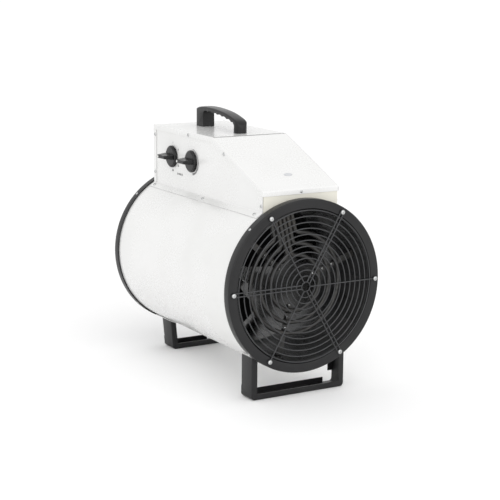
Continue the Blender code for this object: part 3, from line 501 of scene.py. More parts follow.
for k, degrees in enumerate(STRAPS):
    angle = math.radians(degrees)
    back = ELEMENT_Y + TUBE_R + GAP
    bm = bmesh.new()
    wall = LINER_R - LINER_SHEET - 0.0007
    bar = rounded([(0.044, back, 0.0), (wall, back, 0.0026), (wall, back + 0.018, 0.0),
                   (wall - 0.0016, back + 0.018, 0.0), (wall - 0.0016, back + 0.0016, 0.001),
                   (0.044, back + 0.0016, 0.0)])
    prism(bm, bar, "Z", AXIS_Z - 0.006, AXIS_Z + 0.006)
    for word, radius, offset in ELEMENTS:
        over = []
        under = []
        for j in range(13):
            a = math.pi * j / 12
            over.append((radius - (TUBE_R + 0.0009) * math.cos(a),
                         ELEMENT_Y - (TUBE_R + 0.0009) * math.sin(a)))
            under.append((radius - (TUBE_R + 0.0001) * math.cos(a),
                          ELEMENT_Y - (TUBE_R + 0.0001) * math.sin(a)))
        foot = 0.0075
        clip = ([(over[0][0] - foot, back - 0.0009), (over[0][0], back - 0.0009)] + over
                + [(over[-1][0] + foot * 0.25, back - 0.0009), (over[-1][0] + foot * 0.25, back)]
                + [(under[-1][0], back)] + list(reversed(under)) + [(over[0][0] - foot, back)])
        prism(bm, clip, "Z", AXIS_Z - 0.0042, AXIS_Z + 0.0042)
        spot = on_axis(angle, radius - TUBE_R - 0.0047, back - 0.0009)
        drive_screw("clip_screw_{}_{}".format(k + 1, word), spot, (0.0, -1.0, 0.0), 0.0024, degrees)
    turned(bm, bm.verts, angle)
    piece("element_carrier_{}".format(k + 1), bm, sheath,
          ("element_strap_{}".format(k + 1),), crease=30.0)

# ---------------------------------------------------------- fan and motor
# A cast aluminium impeller with five twisted blades on the shaft of a closed
# motor.  The motor hangs on a three-armed plate screwed inside the barrel.
FAN_R = 0.160
FAN_Y = 0.085
HUB_R = 0.043
SHAFT_R = 0.006


def cast_metal():
    made, shade = new_finish("cast_aluminium")
    sand = shade.noise(700.0, 4.0)
    stain = shade.noise(22.0, 4.0)
    tone = stain.over(0.35, 0.75).blend((0.016, 0.016, 0.017, 1.0), (0.010, 0.010, 0.010, 1.0))
    gloss = stain * 0.2 + sand * 0.1 + 0.34
    return close_finish(made, shade, {"Base Color": tone, "Roughness": gloss, "Metallic": 0.3,
                                      "Specular IOR Level": 0.25, "Normal": sand.bump(0.00020, 0.6)})


cast = cast_metal()
bm = bmesh.new()
bore = SHAFT_R + GAP
lathe(bm, rounded([(bore, FAN_Y - 0.024, 0.0006), (0.018, FAN_Y - 0.024, 0.003),
                   (0.036, FAN_Y - 0.019, 0.006), (HUB_R, FAN_Y - 0.010, 0.006),
                   (HUB_R, FAN_Y + 0.024, 0.0006), (HUB_R - 0.003, FAN_Y + 0.024, 0.0006),
                   (HUB_R - 0.003, FAN_Y - 0.008, 0.003), (0.014, FAN_Y - 0.012, 0.003),
                   (0.014, FAN_Y + 0.016, 0.001), (bore, FAN_Y + 0.016, 0.0006)]), 72)
for k in range(5):
    loops = []
    for i in range(19):
        f = i / 18
        radius = HUB_R - 0.002 + (FAN_R - HUB_R + 0.002) * f
        pitch = math.radians(44 - 18 * f)
        chord = (0.062 + 0.030 * f) * (1.0 if f < 0.86 else math.sqrt(1 - ((f - 0.86) / 0.17) ** 2))
        thick = 0.0030 - 0.0014 * f
        loop = []
        for j in range(24):
            a = 2 * math.pi * j / 24
            u = -0.5 * math.cos(a)
            along = u * chord
            camber = chord * 0.075 * (1 - 4 * u * u) + thick * math.sin(a) * (1 - 0.35 * abs(u) * 2)
            tangential = along * math.cos(pitch) - camber * math.sin(pitch)
            axial = along * math.sin(pitch) + camber * math.cos(pitch)
            angle = 2 * math.pi * k / 5 + 0.10 * f * f + tangential / radius
            loop.append(bm.verts.new(on_axis(angle, radius, FAN_Y + axial)))
        loops.append(loop)
    for one, two in zip(loops, loops[1:]):
        for j in range(24):
            m = (j + 1) % 24
            bm.faces.new((one[j], two[j], two[m], one[m]))
    bm.faces.new(list(reversed(loops[0])))
    bm.faces.new(loops[-1])
piece("impeller_casting", bm, cast, ("fan_impeller",), "fan", 32.0)
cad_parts["motor_shaft"].data.materials.clear()
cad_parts["motor_shaft"].data.materials.append(zinc)

bm = bmesh.new()
profile = [(bore, 0.118, 0.0), (0.016, 0.118, 0.001), (0.018, 0.122, 0.001),
           (0.044, 0.124, 0.003), (0.047, 0.128, 0.001)]
for k in range(4):
    y = 0.134 + k * 0.012
    profile += [(0.047, y, 0.0006), (0.050, y + 0.001, 0.0006), (0.050, y + 0.005, 0.0006),
                (0.047, y + 0.006, 0.0006)]
profile += [(0.047, 0.188, 0.0008), (bore, 0.188, 0.0)]
lathe(bm, rounded(profile, 2), 64)
piece("motor_housing", bm, black_coat, ("motor_body",))
bm = bmesh.new()
cap = rounded([(0.0, 0.1883, 0.0), (0.040, 0.1883, 0.0004), (0.040, 0.1943, 0.004),
               (0.030, 0.2003, 0.004), (0.012, 0.2042, 0.002), (0.0, 0.2042, 0.0)])
lathe(bm, cap, 64, closed=False)
piece("motor_rear_shield", bm, black_coat, ("motor_end_cap",))
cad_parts["motor_bracket"].data.materials.clear()
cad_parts["motor_bracket"].data.materials.append(zinc)
for k, degrees in enumerate((90, 210, 330)):
    a = math.radians(degrees)
    for j, radius in enumerate((0.026, 0.150)):
        drive_screw("bracket_screw_{}_{}".format(k + 1, j + 1), on_axis(a, radius, 0.2066),
                    (0.0, 1.0, 0.0), 0.0036, k + j)


def moulded(name, color, roughness, grain=0.00010, worn=(0.06, 0.06, 0.06)):
    """Moulded plastic: spark-eroded grain, soft cloudy sheen, rubbed spots."""
    made, shade = new_finish(name)
    spark = shade.noise(1300.0, 3.0)
    cloud = shade.noise(45.0, 4.0)
    rubbed = cloud.over(0.55, 0.8)
    tone = (rubbed * 0.35).blend((*color, 1.0), (*worn, 1.0))
    gloss = cloud * 0.14 + spark * 0.08 + (roughness - 0.11)
    return close_finish(made, shade, {"Base Color": tone, "Roughness": gloss,
                                      "Specular IOR Level": 0.38, "Normal": spark.bump(grain, 0.8)})


black_plastic = moulded("black_plastic", (0.009, 0.009, 0.010), 0.36, worn=(0.030, 0.030, 0.030))
bm = bmesh.new()
tube(bm, [(0.0, 0.150, AXIS_Z + 0.0503), (0.0, 0.150, AXIS_Z + 0.062), (0.0, 0.1515, AXIS_Z + 0.070),
          (0.0, 0.156, AXIS_Z + 0.085), (0.0, 0.1588, AXIS_Z + 0.098), (0.0, 0.160, AXIS_Z + 0.110),
          (0.0, 0.160, AXIS_Z + 0.185)], 0.0035, 16)
piece("motor_lead_sleeve", bm, black_plastic, ("motor_lead",))

# --------------------------------------------------------------- wire guards
# Round wires in glossy black: rings welded behind six spokes.  Three spokes
# are hairpins round a screw, three end in an eye; the screws hold the guard.
WIRE_R = 0.0012
HUB_RING_R = 0.0095
LAST_RING_R = 0.1485
GUARD_ANGLES = (180, 120, 60, 0, -60, -120)

wire_coat = powder_coat("grey_wire_coat", (0.062, 0.063, 0.066), (0.048, 0.048, 0.048), 0.34,
                        peel=0.00004, scuffs=0.5, metal=0.5)


def spoke_path(sign, angle, double):
    y = sign * (HALF_LENGTH + GAP + WIRE_R)
    eye = 0.0035
    out = Vector((math.cos(angle), 0.0, math.sin(angle)))
    side = Vector((-math.sin(angle), 0.0, math.cos(angle)))
    base = Vector((0.0, y, AXIS_Z))
    root = base + out * (HUB_RING_R - 0.001)
    if double:
        bend = [base + out * (SCREW_R + eye * math.cos(a)) + side * (eye * math.sin(a))
                for a in (math.pi * (k / 12 - 0.5) for k in range(13))]
        return [root - side * eye] + bend + [root + side * eye]
    points = [root, base + out * (SCREW_R - eye - 0.005), base + out * (SCREW_R - eye - 0.003)]
    for k in range(19):
        a = math.pi + math.radians(16 + 18 * k)
        points.append(base + out * (SCREW_R + eye * math.cos(a)) + side * (eye * math.sin(a)))
    return points


def wire_guard(word, sign, rings):
    y = sign * (HALF_LENGTH - 0.0003)
    pitch = (LAST_RING_R - HUB_RING_R) / rings
    bm = bmesh.new()
    for k in range(rings + 1):
        radius = HUB_RING_R + pitch * k
        count = int(28 + 84 * radius / LAST_RING_R)
        tube(bm, [on_axis(2 * math.pi * i / count, radius, y) for i in range(count)], WIRE_R, 10,
             closed=True)
    for k, degrees in enumerate(GUARD_ANGLES):
        tube(bm, spoke_path(sign, math.radians(degrees), k % 2 == 0), WIRE_R, 10)
        spot = on_axis(math.radians(degrees), SCREW_R, sign * (HALF_LENGTH + 2 * GAP + 2 * WIRE_R))
        node = "{}_guard_screw_{}".format(word, k + 1)
        drive_screw(node + "_head", spot, (0.0, sign, 0.0), 0.0046, 0.5 * k, (node,), squat=1.05)
    piece(word + "_wire_guard", bm, wire_coat, (word + "_guard",), crease=60.0)


wire_guard("front", -1, 12)
wire_guard("rear", 1, 7)

# --------------------------------------------------------- legs and saddles
# Two U-shaped legs bent from steel channel, the flanges turned inward and the
# rear flange notched at the bends.  Each is bolted to a white saddle plate.
LEG_SHEET = 0.002
LEG_FLANGE = 0.012
SADDLE_LIP = 0.0020
NOTCH = 0.024
LEGS = (("front", -0.2270, -0.1860, 0.1060, 0.1060), ("rear", 0.1790, 0.2200, 0.0800, 0.0640))
SADDLE_R = BARREL_R + 0.0012


def leg_line(top_x, foot_x, inset, corner):
    """Half of the U from the barrel down to the middle of the foot, moved inward."""
    slope = (top_x - foot_x) / (AXIS_Z - 0.060)
    lean = math.atan(slope)
    shift = inset / math.cos(lean)
    reach = SADDLE_R + 0.0018
    z = 0.06
    for k in range(20):
        x = foot_x + slope * z - shift
        z = AXIS_Z - math.sqrt(reach * reach - x * x)
    points = [(x, z), (foot_x + slope * NOTCH - shift, NOTCH)]
    radius = max(corner - inset, 0.0)
    base_x = foot_x + slope * inset - shift
    steps = 6
    center_z = inset + radius
    center_x = base_x + slope * radius - radius
    for k in range(steps + 1):
        a = -(math.pi / 2) * k / steps
        points.append((center_x + radius * math.cos(a), center_z + radius * math.sin(a)))
    points += [(foot_x - NOTCH, inset), (0.0, inset)]
    return points


def leg_sheet(word, low, high, top_x, foot_x):
    outer = leg_line(top_x, foot_x, 0.0, 0.008)
    inner = leg_line(top_x, foot_x, LEG_FLANGE, 0.008)
    full_outer = [(-x, z) for x, z in outer] + [(x, z) for x, z in reversed(outer[:-1])]
    full_inner = [(-x, z) for x, z in inner] + [(x, z) for x, z in reversed(inner[:-1])]
    bm = bmesh.new()
    rows = [[bm.verts.new((x, y, z)) for x, z in line]
            for line, y in ((full_inner, low), (full_outer, low), (full_outer, high), (full_inner, high))]
    folds = []
    last = len(full_outer) - 1
    for r in range(3):
        for i in range(last):
            notched = 1 <= i <= 8 or last - 9 <= i <= last - 2
            if r == 2 and notched:
                continue
            bm.faces.new((rows[r][i], rows[r][i + 1], rows[r + 1][i + 1], rows[r + 1][i]))
    bmesh.ops.remove_doubles(bm, verts=bm.verts, dist=0.00005)
    bmesh.ops.recalc_face_normals(bm, faces=bm.faces)
    for edge in bm.edges:
        if len(edge.link_faces) == 2 and edge.calc_face_angle(0.0) > 1.2:
            folds.append(edge)
    bmesh.ops.bevel(bm, geom=folds, offset=0.0022, segments=4, profile=0.5, affect="EDGES",
                    clamp_overlap=True)
    made = piece(word + "_leg_channel", bm, black_coat, (word + "_leg",))
    thick = made.modifiers.new("sheet", "SOLIDIFY")
    thick.thickness = LEG_SHEET
    thick.offset = -1.0
    soften(made, 0.0004, 2, 60.0)


for word, low, high, top_x, foot_x in LEGS:
    leg_sheet(word, low, high, top_x, foot_x)
    side = math.acos((top_x - 0.0012) / (SADDLE_R + 0.0025))
    span = math.pi / 2 - side + math.radians(2.5)
    outline = []
    for k in range(49):
        a = -math.pi / 2 - span + 2 * span * k / 48
        outline.append(on_axis(a, SADDLE_R + 0.0015, 0.0).xz)
    for k in range(49):
        a = -math.pi / 2 + span - 2 * span * k / 48
        outline.append(on_axis(a, SADDLE_R, 0.0).xz)
    bm = bmesh.new()
    prism(bm, outline, "Y", low - SADDLE_LIP, high + SADDLE_LIP)
    saddle = piece(word + "_saddle_plate", bm, white_coat, (word + "_saddle",))
    soften(saddle, 0.0004, 2, 60.0)

# --------------------------------------------------------------- control box
# Four folded sheets: a cover bent over top, slope and front lip, two side
# panels with a flange on the barrel, and end panels; screws hold the flanges.
BOX_HALF_W = 0.086
BOX_TOP = 0.4865
BOX_REAR = 0.2235
BOX_BEND = -0.0315
BOX_FRONT = -0.2265
SLOPE_END_Z = 0.4055
LIP_Z = 0.3955
BOX_SHEET = 0.0012
FOLD = 0.010

# The front panel under the lip is coloured a darker, yellower white than the other sheets.
front_panel_coat = powder_coat("cream_powder_coat", (0.74, 0.72, 0.64), (0.66, 0.64, 0.57), 0.40)
slope = Vector((BOX_FRONT - BOX_BEND, SLOPE_END_Z - BOX_TOP)).normalized()
inward = Vector((-slope.y, slope.x))


def folded(name, faces, folds, radius, finish, nodes, thickness=BOX_SHEET):
    """Sheet piece from flat faces; its folds are rounded and it gets its thickness inward."""
    bm = bmesh.new()
    made = {}
    for face in faces:
        for corner in face:
            if corner not in made:
                made[corner] = bm.verts.new(corner)
        bm.faces.new([made[corner] for corner in face])
    bm.edges.ensure_lookup_table()
    chosen = [bm.edges.get((made[a], made[b])) for a, b in folds]
    bmesh.ops.bevel(bm, geom=chosen, offset=radius, segments=4, profile=0.5, affect="EDGES",
                    clamp_overlap=True)
    sheet = piece(name, bm, finish, nodes, crease=35.0)
    thick = sheet.modifiers.new("sheet", "SOLIDIFY")
    thick.thickness = thickness
    thick.offset = -1.0
    soften(sheet, 0.0002, 2, 60.0)
    even = sheet.modifiers.new("even_flats", "WEIGHTED_NORMAL")
    even.keep_sharp = True
    return sheet


w = BOX_HALF_W
bend_low = Vector((BOX_BEND, BOX_TOP - FOLD)) + Vector((inward.x * FOLD * 0.45, 0.0))
faces = [((w, BOX_REAR, BOX_TOP), (w, BOX_BEND, BOX_TOP), (-w, BOX_BEND, BOX_TOP),
          (-w, BOX_REAR, BOX_TOP)),
         ((w, BOX_BEND, BOX_TOP), (w, BOX_FRONT, SLOPE_END_Z), (-w, BOX_FRONT, SLOPE_END_Z),
          (-w, BOX_BEND, BOX_TOP)),
         ((w, BOX_FRONT, SLOPE_END_Z), (w, BOX_FRONT, LIP_Z), (-w, BOX_FRONT, LIP_Z),
          (-w, BOX_FRONT, SLOPE_END_Z))]
folds = [((w, BOX_BEND, BOX_TOP), (-w, BOX_BEND, BOX_TOP)),
         ((w, BOX_FRONT, SLOPE_END_Z), (-w, BOX_FRONT, SLOPE_END_Z))]
for s in (w, -w):
    low = (s, bend_low.x, bend_low.y)
    faces += [((s, BOX_REAR, BOX_TOP), (s, BOX_BEND, BOX_TOP), low, (s, BOX_REAR, BOX_TOP - FOLD)),
              ((s, BOX_BEND, BOX_TOP), (s, BOX_FRONT, SLOPE_END_Z), (s, BOX_FRONT, LIP_Z), low)]
    folds += [((s, BOX_REAR, BOX_TOP), (s, BOX_BEND, BOX_TOP)),
              ((s, BOX_BEND, BOX_TOP), (s, BOX_FRONT, SLOPE_END_Z)),
              ((s, BOX_FRONT, SLOPE_END_Z), (s, BOX_FRONT, LIP_Z))]
cover = folded("cover_sheet", faces, folds, 0.0022, white_coat, ("box_cover",))
box_middle = Vector((0.0, 0.0, 0.40))
for face in cover.data.polygons:
    if face.normal.dot(face.center - box_middle) < 0.0:
        face.flip()

for word, sign in (("left", -1), ("right", 1)):
    s = sign * (w - BOX_SHEET - GAP)
    far = sign * 0.0972
    y0, y1 = BOX_REAR - 2 * GAP, BOX_FRONT + 0.0030
    base, hem = 0.3647, 0.3564
    step = Vector((BOX_BEND, BOX_TOP)) + inward * 0.0015
    fall = step + slope * ((y1 - step.x) / slope.x)
    faces = [((s, y0, base), (s, y0, BOX_TOP - 0.0015), (s, BOX_BEND + 0.0003, BOX_TOP - 0.0015),
              (s, y1, fall.y), (s, y1, base)),
             ((s, y0, base), (s, y1, base), (far, y1 + 0.001, hem), (far, y0, hem))]
    folded(word + "_panel_sheet", faces, [((s, y0, base), (s, y1, base))], 0.0015, white_coat,
           ("box_{}_panel".format(word),))


def arch(half, y):
    """Lower edge of an end panel, following the barrel."""
    points = []
    for k in range(25):
        x = -half + 2 * half * k / 24
        points.append((x, y, AXIS_Z + math.sqrt((BARREL_R + 0.0006) ** 2 - x * x)))
    return points


half = w - 2 * BOX_SHEET - 2 * GAP
y = BOX_FRONT + BOX_SHEET + GAP
folded("front_panel_sheet", [tuple(arch(half, y)) + ((half, y, 0.4030), (-half, y, 0.4030))], [],
       0.001, front_panel_coat, ("box_front_panel",))

y = BOX_REAR + GAP + BOX_SHEET
back = tuple(arch(w, y))
top = BOX_TOP - FOLD - GAP
a_in, a_out, b_in, b_out = back[0], (-w, y, top), back[-1], (w, y, top)
reach = y - FOLD - BOX_SHEET
faces = [back + (b_out, (w, y, BOX_TOP), (-w, y, BOX_TOP), a_out),
         (a_in, a_out, (-w, reach, top), (-w, reach, a_in[2] + 0.004)),
         (b_in, b_out, (w, reach, top), (w, reach, b_in[2] + 0.004))]
folded("rear_panel_sheet", faces, [(a_in, a_out), (b_in, b_out)], 0.0015, white_coat,
       ("box_rear_panel",))

flange_normal = Vector((0.5417, 0.0, 0.8406))
number = 0
for sign in (-1, 1):
    spots = [(sign * w, 0.069, 0.4808), (sign * w, -0.0785, 0.4590), (sign * w, 0.2175, 0.4665),
             (sign * w, 0.2175, 0.3870), (sign * (w - 0.0015), -0.2190, 0.3768)]
    for spot in spots:
        number += 1
        drive_screw("box_screw_{}".format(number), spot, (sign, 0.0, 0.0), 0.0036, number * 0.9)
    for y in (0.2110, -0.0020, -0.2050):
        number += 1
        drive_screw("box_screw_{}".format(number), (sign * 0.0915, y, 0.3604),
                    (sign * flange_normal.x, 0.0, flange_normal.z), 0.0036, number * 0.9)
drive_screw("lip_screw", (0.0, BOX_FRONT, 0.4002), (0.0, -1.0, 0.0), 0.0030, 0.4)
for k, x in enumerate((-0.070, 0.070)):
    drive_screw("rear_panel_screw_{}".format(k + 1), (x, BOX_REAR + GAP + BOX_SHEET, 0.4800),
                (0.0, 1.0, 0.0), 0.0032, k)

# A plain oval badge is pressed on the slope of the cover.
made, shade = new_finish("badge_silver")
fine = shade.noise(800.0, 2.0, (0.08, 1.0, 1.0))
close_finish(made, shade, {"Base Color": fine.blend((0.70, 0.71, 0.73, 1.0), (0.50, 0.51, 0.53, 1.0)),
                           "Metallic": 0.25, "Roughness": fine * 0.2 + 0.30})
bm = bmesh.new()
spot = Vector((BOX_BEND, BOX_TOP)) + slope * 0.158
rings = []
for size, lift in ((1.0, 0.0001), (1.0, 0.0006), (0.93, 0.0009), (0.86, 0.0009), (0.83, 0.0006),
                   (0.45, 0.0007)):
    ring = []
    for i in range(48):
        a = 2 * math.pi * i / 48
        p = spot + slope * (0.0046 * size * math.sin(a)) - inward * lift
        ring.append(bm.verts.new((0.0092 * size * math.cos(a), p.x, p.y)))
    rings.append(ring)
for one, two in zip(rings, rings[1:]):
    for i in range(48):
        j = (i + 1) % 48
        bm.faces.new((one[i], one[j], two[j], two[i]))
bm.faces.new(rings[-1])
bm.faces.new(list(reversed(rings[0])))
piece("badge_plate", bm, made, ("oval_badge",), crease=50.0)

# Cable gland of black plastic in the rear panel: body, hexagon, dome nut.
bm = bmesh.new()
out = BOX_REAR + GAP + BOX_SHEET + GAP
place = (0.045, 0.0, 0.425)
lathe(bm, rounded([(0.0, out - 0.012, 0.0), (0.0100, out - 0.012, 0.0005), (0.0100, out, 0.0),
                   (0.0136, out, 0.0006), (0.0136, out + 0.005, 0.0006), (0.0125, out + 0.006, 0.0),
                   (0.0125, out + 0.012, 0.002), (0.0085, out + 0.0168, 0.001),
                   (0.0055, out + 0.0168, 0.0005), (0.0050, out + 0.015, 0.0),
                   (0.0, out + 0.015, 0.0)]), 48, place, closed=False)
for k in range(24):
    a = 2 * math.pi * k / 24
    mid = Vector((0.045 + 0.0124 * math.cos(a), out + 0.0065, 0.425 + 0.0124 * math.sin(a)))
    tube(bm, [mid, mid + Vector((0.0, 0.0050, 0.0))], 0.0007, 8)
piece("gland_moulding", bm, black_plastic, ("cable_gland",), crease=35.0)

# -------------------------------------------------------------- the electrics
# Switch, thermostat, contactor, terminals and capacitor sit inside the closed
# box, moulded in grey; the plate behind them is zinc plated.
grey_plastic = moulded("grey_plastic", (0.36, 0.37, 0.38), 0.45, worn=(0.28, 0.28, 0.28))
made, shade = new_finish("copper_capillary")
tarnish = shade.noise(160.0, 4.0)
copper = close_finish(made, shade, {
    "Base Color": tarnish.over(0.4, 0.7).blend((0.60, 0.30, 0.18, 1.0), (0.30, 0.15, 0.09, 1.0)),
    "Metallic": 1.0, "Roughness": tarnish * 0.3 + 0.2})
INSIDE = {"selector_switch": grey_plastic, "thermostat_body": grey_plastic, "contactor": grey_plastic,
          "terminal_block": grey_plastic, "motor_capacitor": grey_plastic,
          "overheat_cutout": black_plastic, "thermostat_bulb": copper, "component_plate": zinc,
          "selector_spindle": zinc, "thermostat_spindle": zinc}
for name, finish in INSIDE.items():
    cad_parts[name].data.materials.clear()
    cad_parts[name].data.materials.append(finish)

# ----------------------------------------------------------- knobs and dials
# Black moulded knobs with a bar grip and a white dot at its tip, pressed on
# their spindles.  The dial marks are printed on the left panel.
KNOB_Z = 0.4285
KNOB_R = 0.0225
KNOBS = (("selector", 0.1395), ("thermostat", 0.0545))
knob_plastic = moulded("knob_plastic", (0.004, 0.004, 0.0045), 0.27, 0.00005, (0.012, 0.012, 0.012))
made, shade = new_finish("white_index")
speckle = shade.noise(600.0, 2.0)
white_index = close_finish(made, shade, {
    "Base Color": speckle.blend((0.80, 0.80, 0.78, 1.0), (0.68, 0.68, 0.66, 1.0)),
    "Roughness": speckle * 0.2 + 0.4})
made, shade = new_finish("dial_print")
speckle = shade.noise(900.0, 3.0)
dial_print = close_finish(made, shade, {
    "Base Color": speckle.over(0.4, 0.8).blend((0.035, 0.035, 0.037, 1.0), (0.11, 0.11, 0.11, 1.0)),
    "Roughness": speckle * 0.2 + 0.45})
panel_x = -(w - BOX_SHEET - GAP)

for word, y in KNOBS:
    start = panel_x - 0.0012
    bm = bmesh.new()
    lathe(bm, rounded([(0.0, -0.0065, 0.0), (KNOB_R - 0.0035, -0.0065, 0.0012),
                       (KNOB_R - 0.0006, -0.0045, 0.0012), (KNOB_R, 0.0, 0.0004),
                       (0.0033, 0.0, 0.0), (0.0033, -0.004, 0.0), (0.0, -0.004, 0.0)]),
          96, (start, y, KNOB_Z), "X", closed=False)
    for k in range(36):
        a = 2 * math.pi * k / 36
        rim = Vector((start - 0.0042, y + 0.0220 * math.cos(a), KNOB_Z + 0.0220 * math.sin(a)))
        tube(bm, [rim, rim + Vector((0.0036, 0.0, 0.0))], 0.00055, 6)
    piece(word + "_knob_skirt", bm, knob_plastic, (word + "_knob",), word, 35.0)
    bm = bmesh.new()
    near = [bm.verts.new((start - 0.0060, y + a, KNOB_Z + b))
            for a, b in ((-0.0180, -0.0055), (0.0205, -0.0062), (0.0205, 0.0062), (-0.0180, 0.0055))]
    far = [bm.verts.new((start - 0.0265, y + a, KNOB_Z + b))
           for a, b in ((-0.0130, -0.0032), (0.0190, -0.0036), (0.0190, 0.0036), (-0.0130, 0.0032))]
    bm.faces.new(near)
    bm.faces.new(list(reversed(far)))
    for i in range(4):
        j = (i + 1) % 4
        bm.faces.new((near[j], near[i], far[i], far[j]))
    grip = piece(word + "_knob_grip", bm, knob_plastic, (word + "_knob",), word, 35.0)
    soften(grip, 0.0018, 4, 40.0)
    bm = bmesh.new()
    lathe(bm, rounded([(0.0, -0.0003, 0.0), (0.0024, -0.0003, 0.0002), (0.0024, 0.0005, 0.0),
                       (0.0, 0.0005, 0.0)]), 24, (start - 0.0265, y + 0.0150, KNOB_Z), "X",
          closed=False)
    piece(word + "_knob_dot", bm, white_index, (), word)


def mark(bm, y, z, wide, tall, turn=0.0):
    """One printed bar on the left panel."""
    corners = [Vector((a * wide / 2, b * tall / 2)) for a, b in ((-1, -1), (1, -1), (1, 1), (-1, 1))]
    corners = [Matrix.Rotation(turn, 2) @ c for c in corners]
    prism(bm, [(y + c.x, z + c.y) for c in corners], "X", panel_x - 0.00012, panel_x - 0.00002)


bm = bmesh.new()
y = KNOBS[0][1]
for degrees, bars in ((0, 0), (90, 1), (145, 2), (215, 3), (270, 4)):
    a = math.radians(degrees)
    cy, cz = y + 0.0290 * math.cos(a), KNOB_Z + 0.0290 * math.sin(a)
    if bars == 0:
        for k in range(16):
            t = 2 * math.pi * k / 16
            mark(bm, cy + 0.0014 * math.cos(t), cz + 0.0014 * math.sin(t), 0.0005, 0.0007, t)
    for k in range(bars):
        mark(bm, cy + 0.0014 * (k - (bars - 1) / 2), cz, 0.0009, 0.0042)
y = KNOBS[1][1]
for k in range(30):
    a = math.radians(85 - 170 * k / 29)
    depth = 0.0007 + 0.0037 * k / 29
    r = 0.0242 + depth / 2
    mark(bm, y - r * math.cos(a), KNOB_Z + r * math.sin(a), depth, 0.0019, -a)
for k in range(4):
    mark(bm, 0.1175 - 0.0062 * k, 0.3950, 0.0034, 0.0042)
piece("dial_marks", bm, dial_print)

# ------------------------------------------------------------ carrying handle
# A bridge of black plastic moulded in one, screwed to the cover from inside.
# The rear post is deep and the front one slim; the top slopes down forward, over
# scallops for the fingers.  Heights are above the cover.
handle_plastic = moulded("handle_plastic", (0.006, 0.006, 0.0065), 0.30, 0.00006,
                         (0.016, 0.016, 0.016))
HANDLE_W = 0.027
HANDLE_ROUND = 0.0110
HANDLE_EDGE = 0.0030
HANDLE_CROWN = 0.0009
HANDLE_GAP = (0.0105, 0.1390)
SCALLOP = 0.0026
FOOT = 0.0005
HANDLE_TOP = ((0.1760, 0.0240), (0.1752, 0.0300), (0.1725, 0.0343), (0.1680, 0.0376),
              (0.1610, 0.0400), (0.1500, 0.0417), (0.1370, 0.0428), (0.1240, 0.0430),
              (0.1050, 0.0427), (0.0870, 0.0417), (0.0680, 0.0400), (0.0500, 0.0376),
              (0.0350, 0.0346), (0.0220, 0.0314), (0.0100, 0.0276), (0.0030, 0.0240),
              (-0.0010, 0.0200), (-0.0033, 0.0155), (-0.0040, 0.0105))
HANDLE_CUSPS = ((0.0130, 0.0180), (0.0224, 0.0209), (0.0415, 0.0250), (0.0615, 0.0283),
                (0.0810, 0.0303), (0.1005, 0.0315), (0.1200, 0.0318), (0.1360, 0.0312))


def flowing(points, parts):
    """A smooth curve through points, each stretch cut into parts."""
    line = [Vector(p) for p in points]
    line = [line[0] * 2 - line[1]] + line + [line[-1] * 2 - line[-2]]
    curve = []
    for a, b, c, d in zip(line, line[1:], line[2:], line[3:]):
        for k in range(parts):
            t = k / parts
            curve.append((b * 2 + (c - a) * t + (a * 2 - b * 5 + c * 4 - d) * t ** 2
                          + (b * 3 - a - c * 3 + d) * t ** 3) / 2)
    return [(p.x, p.y) for p in curve] + [tuple(points[-1])]


rear, front = HANDLE_TOP[0][0], HANDLE_TOP[-1][0]
outline = [(rear, 0.0), (rear, FOOT)] + flowing(HANDLE_TOP, 3)
outline += [(front, FOOT), (front, 0.0), (HANDLE_GAP[0], 0.0), (HANDLE_GAP[0], FOOT)]
outline += [(HANDLE_GAP[0], 0.0140), (HANDLE_GAP[0] + 0.0006, 0.0160)]
for (y0, z0), (y1, z1) in zip(HANDLE_CUSPS, HANDLE_CUSPS[1:]):
    for k in range(10):
        f = k / 10
        outline.append((y0 + (y1 - y0) * f, z0 + (z1 - z0) * f + SCALLOP * math.sin(math.pi * f)))
outline += [HANDLE_CUSPS[-1], (HANDLE_GAP[1] - 0.0006, 0.0292), (HANDLE_GAP[1], 0.0270),
            (HANDLE_GAP[1], FOOT), (HANDLE_GAP[1], 0.0)]
count = len(outline)
half = HANDLE_W / 2
widths = [(half - HANDLE_ROUND) * k / 3 for k in (-2, -1, 0, 1, 2)]
widths += [s * (half - HANDLE_ROUND + HANDLE_ROUND * math.sin(math.pi / 2 * k / 12))
           for s in (-1, 1) for k in range(1, 13)]
bm = bmesh.new()
rings = []
for x in sorted(widths):
    out = max(0.0, abs(x) - (half - HANDLE_ROUND)) / HANDLE_ROUND
    inset = HANDLE_ROUND * (1 - math.sqrt(1 - min(1.0, out) ** 2))
    over = max(0.0, abs(x) - (half - HANDLE_EDGE)) / HANDLE_EDGE
    drop = HANDLE_EDGE * (1 - math.sqrt(1 - min(1.0, over) ** 2)) * 0.8
    crown = HANDLE_CROWN * (x / half) ** 2
    ring = []
    for i, (y, z) in enumerate(outline):
        y0, z0 = outline[i - 1]
        y1, z1 = outline[(i + 1) % count]
        size = math.hypot(y1 - y0, z1 - z0)
        top = 2 <= i < 3 + 3 * len(HANDLE_TOP)
        move = (drop + crown if top else drop * 0.4) if z > 2 * FOOT else 0.0
        y -= move * (z1 - z0) / size
        z += move * (y1 - y0) / size
        low = front + inset if y < HANDLE_GAP[0] - 0.001 else -1.0
        high = rear - inset if y > HANDLE_GAP[1] + 0.001 else 1.0
        ring.append(bm.verts.new((x, min(max(y, low), high), BOX_TOP + GAP + z)))
    rings.append(ring)
for one, two in zip(rings, rings[1:]):
    for i in range(count):
        j = (i + 1) % count
        bm.faces.new((one[i], one[j], two[j], two[i]))
bm.faces.new(list(reversed(rings[0])))
bm.faces.new(rings[-1])
piece("handle_moulding", bm, handle_plastic, ("handle",), crease=38.0)

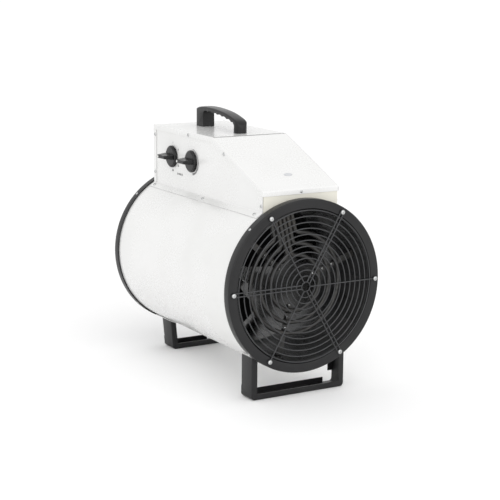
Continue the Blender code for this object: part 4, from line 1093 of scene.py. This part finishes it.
# ------------------------------------------------------------ floor and light
# A plain pale floor, a bright even surround and large soft lamps; a long lens
# looks slightly down on the outlet and the knobs.
made, shade = new_finish("pale_floor")
fleck = shade.noise(3.0, 3.0)
close_finish(made, shade, {"Base Color": fleck.blend((0.955, 0.955, 0.955, 1.0), (0.97, 0.97, 0.97, 1.0)),
                           "Roughness": 0.8, "Specular IOR Level": 0.1})
bm = bmesh.new()
bmesh.ops.create_grid(bm, x_segments=8, y_segments=8, size=30.0)
mesh = bpy.data.meshes.new("floor")
bm.to_mesh(mesh)
bm.free()
mesh.materials.append(made)
floor = bpy.data.objects.new("floor", mesh)
bpy.context.scene.collection.objects.link(floor)

world = bpy.data.worlds.new("surround")
world.use_nodes = True
world.node_tree.nodes["Background"].inputs["Color"].default_value = (1.0, 1.0, 1.0, 1.0)
world.node_tree.nodes["Background"].inputs["Strength"].default_value = 1.0
bpy.context.scene.world = world
bpy.context.scene.view_settings.view_transform = "Standard"


def lamp(name, kind, power, spot, aim, size):
    data = bpy.data.lights.new(name, kind)
    data.energy = power
    if kind == "AREA":
        data.shape = "RECTANGLE"
        data.size, data.size_y = size
    else:
        data.angle = size
    made = bpy.data.objects.new(name, data)
    made.location = spot
    made.rotation_euler = (Vector(aim) - Vector(spot)).to_track_quat("-Z", "Y").to_euler()
    bpy.context.scene.collection.objects.link(made)


lamp("key", "SUN", 0.70, (-1.2, -3.0, 1.9), (0.0, 0.0, 0.2), math.radians(60))
lamp("left_strip", "AREA", 3.0, (-2.0, 0.2, 1.3), (0.0, 0.0, 0.25), (0.5, 1.8))
lamp("front_strip", "AREA", 4.0, (0.9, -2.2, 1.2), (0.0, -0.2, 0.22), (0.6, 1.4))

data = bpy.data.cameras.new("camera")
data.lens = 103.9
data.sensor_width = 36.0
data.shift_x = -0.0121
data.shift_y = 0.0374
data.clip_end = 100.0
azimuth, elevation, roll = math.radians(-30.78), math.radians(12.12), math.radians(0.52)
target = Vector((0.0, -0.0605, 0.2185))
ahead = Vector((-math.sin(azimuth) * math.cos(elevation), math.cos(azimuth) * math.cos(elevation),
                -math.sin(elevation)))
right = ahead.cross(Vector((0.0, 0.0, 1.0))).normalized()
up = right.cross(ahead)
right, up = (right * math.cos(roll) + up * math.sin(roll), up * math.cos(roll) - right * math.sin(roll))
camera = bpy.data.objects.new("camera", data)
camera.matrix_world = Matrix((right, up, -ahead)).transposed().to_4x4()
camera.location = target - ahead * 2.921
bpy.context.scene.collection.objects.link(camera)
bpy.context.scene.camera = camera
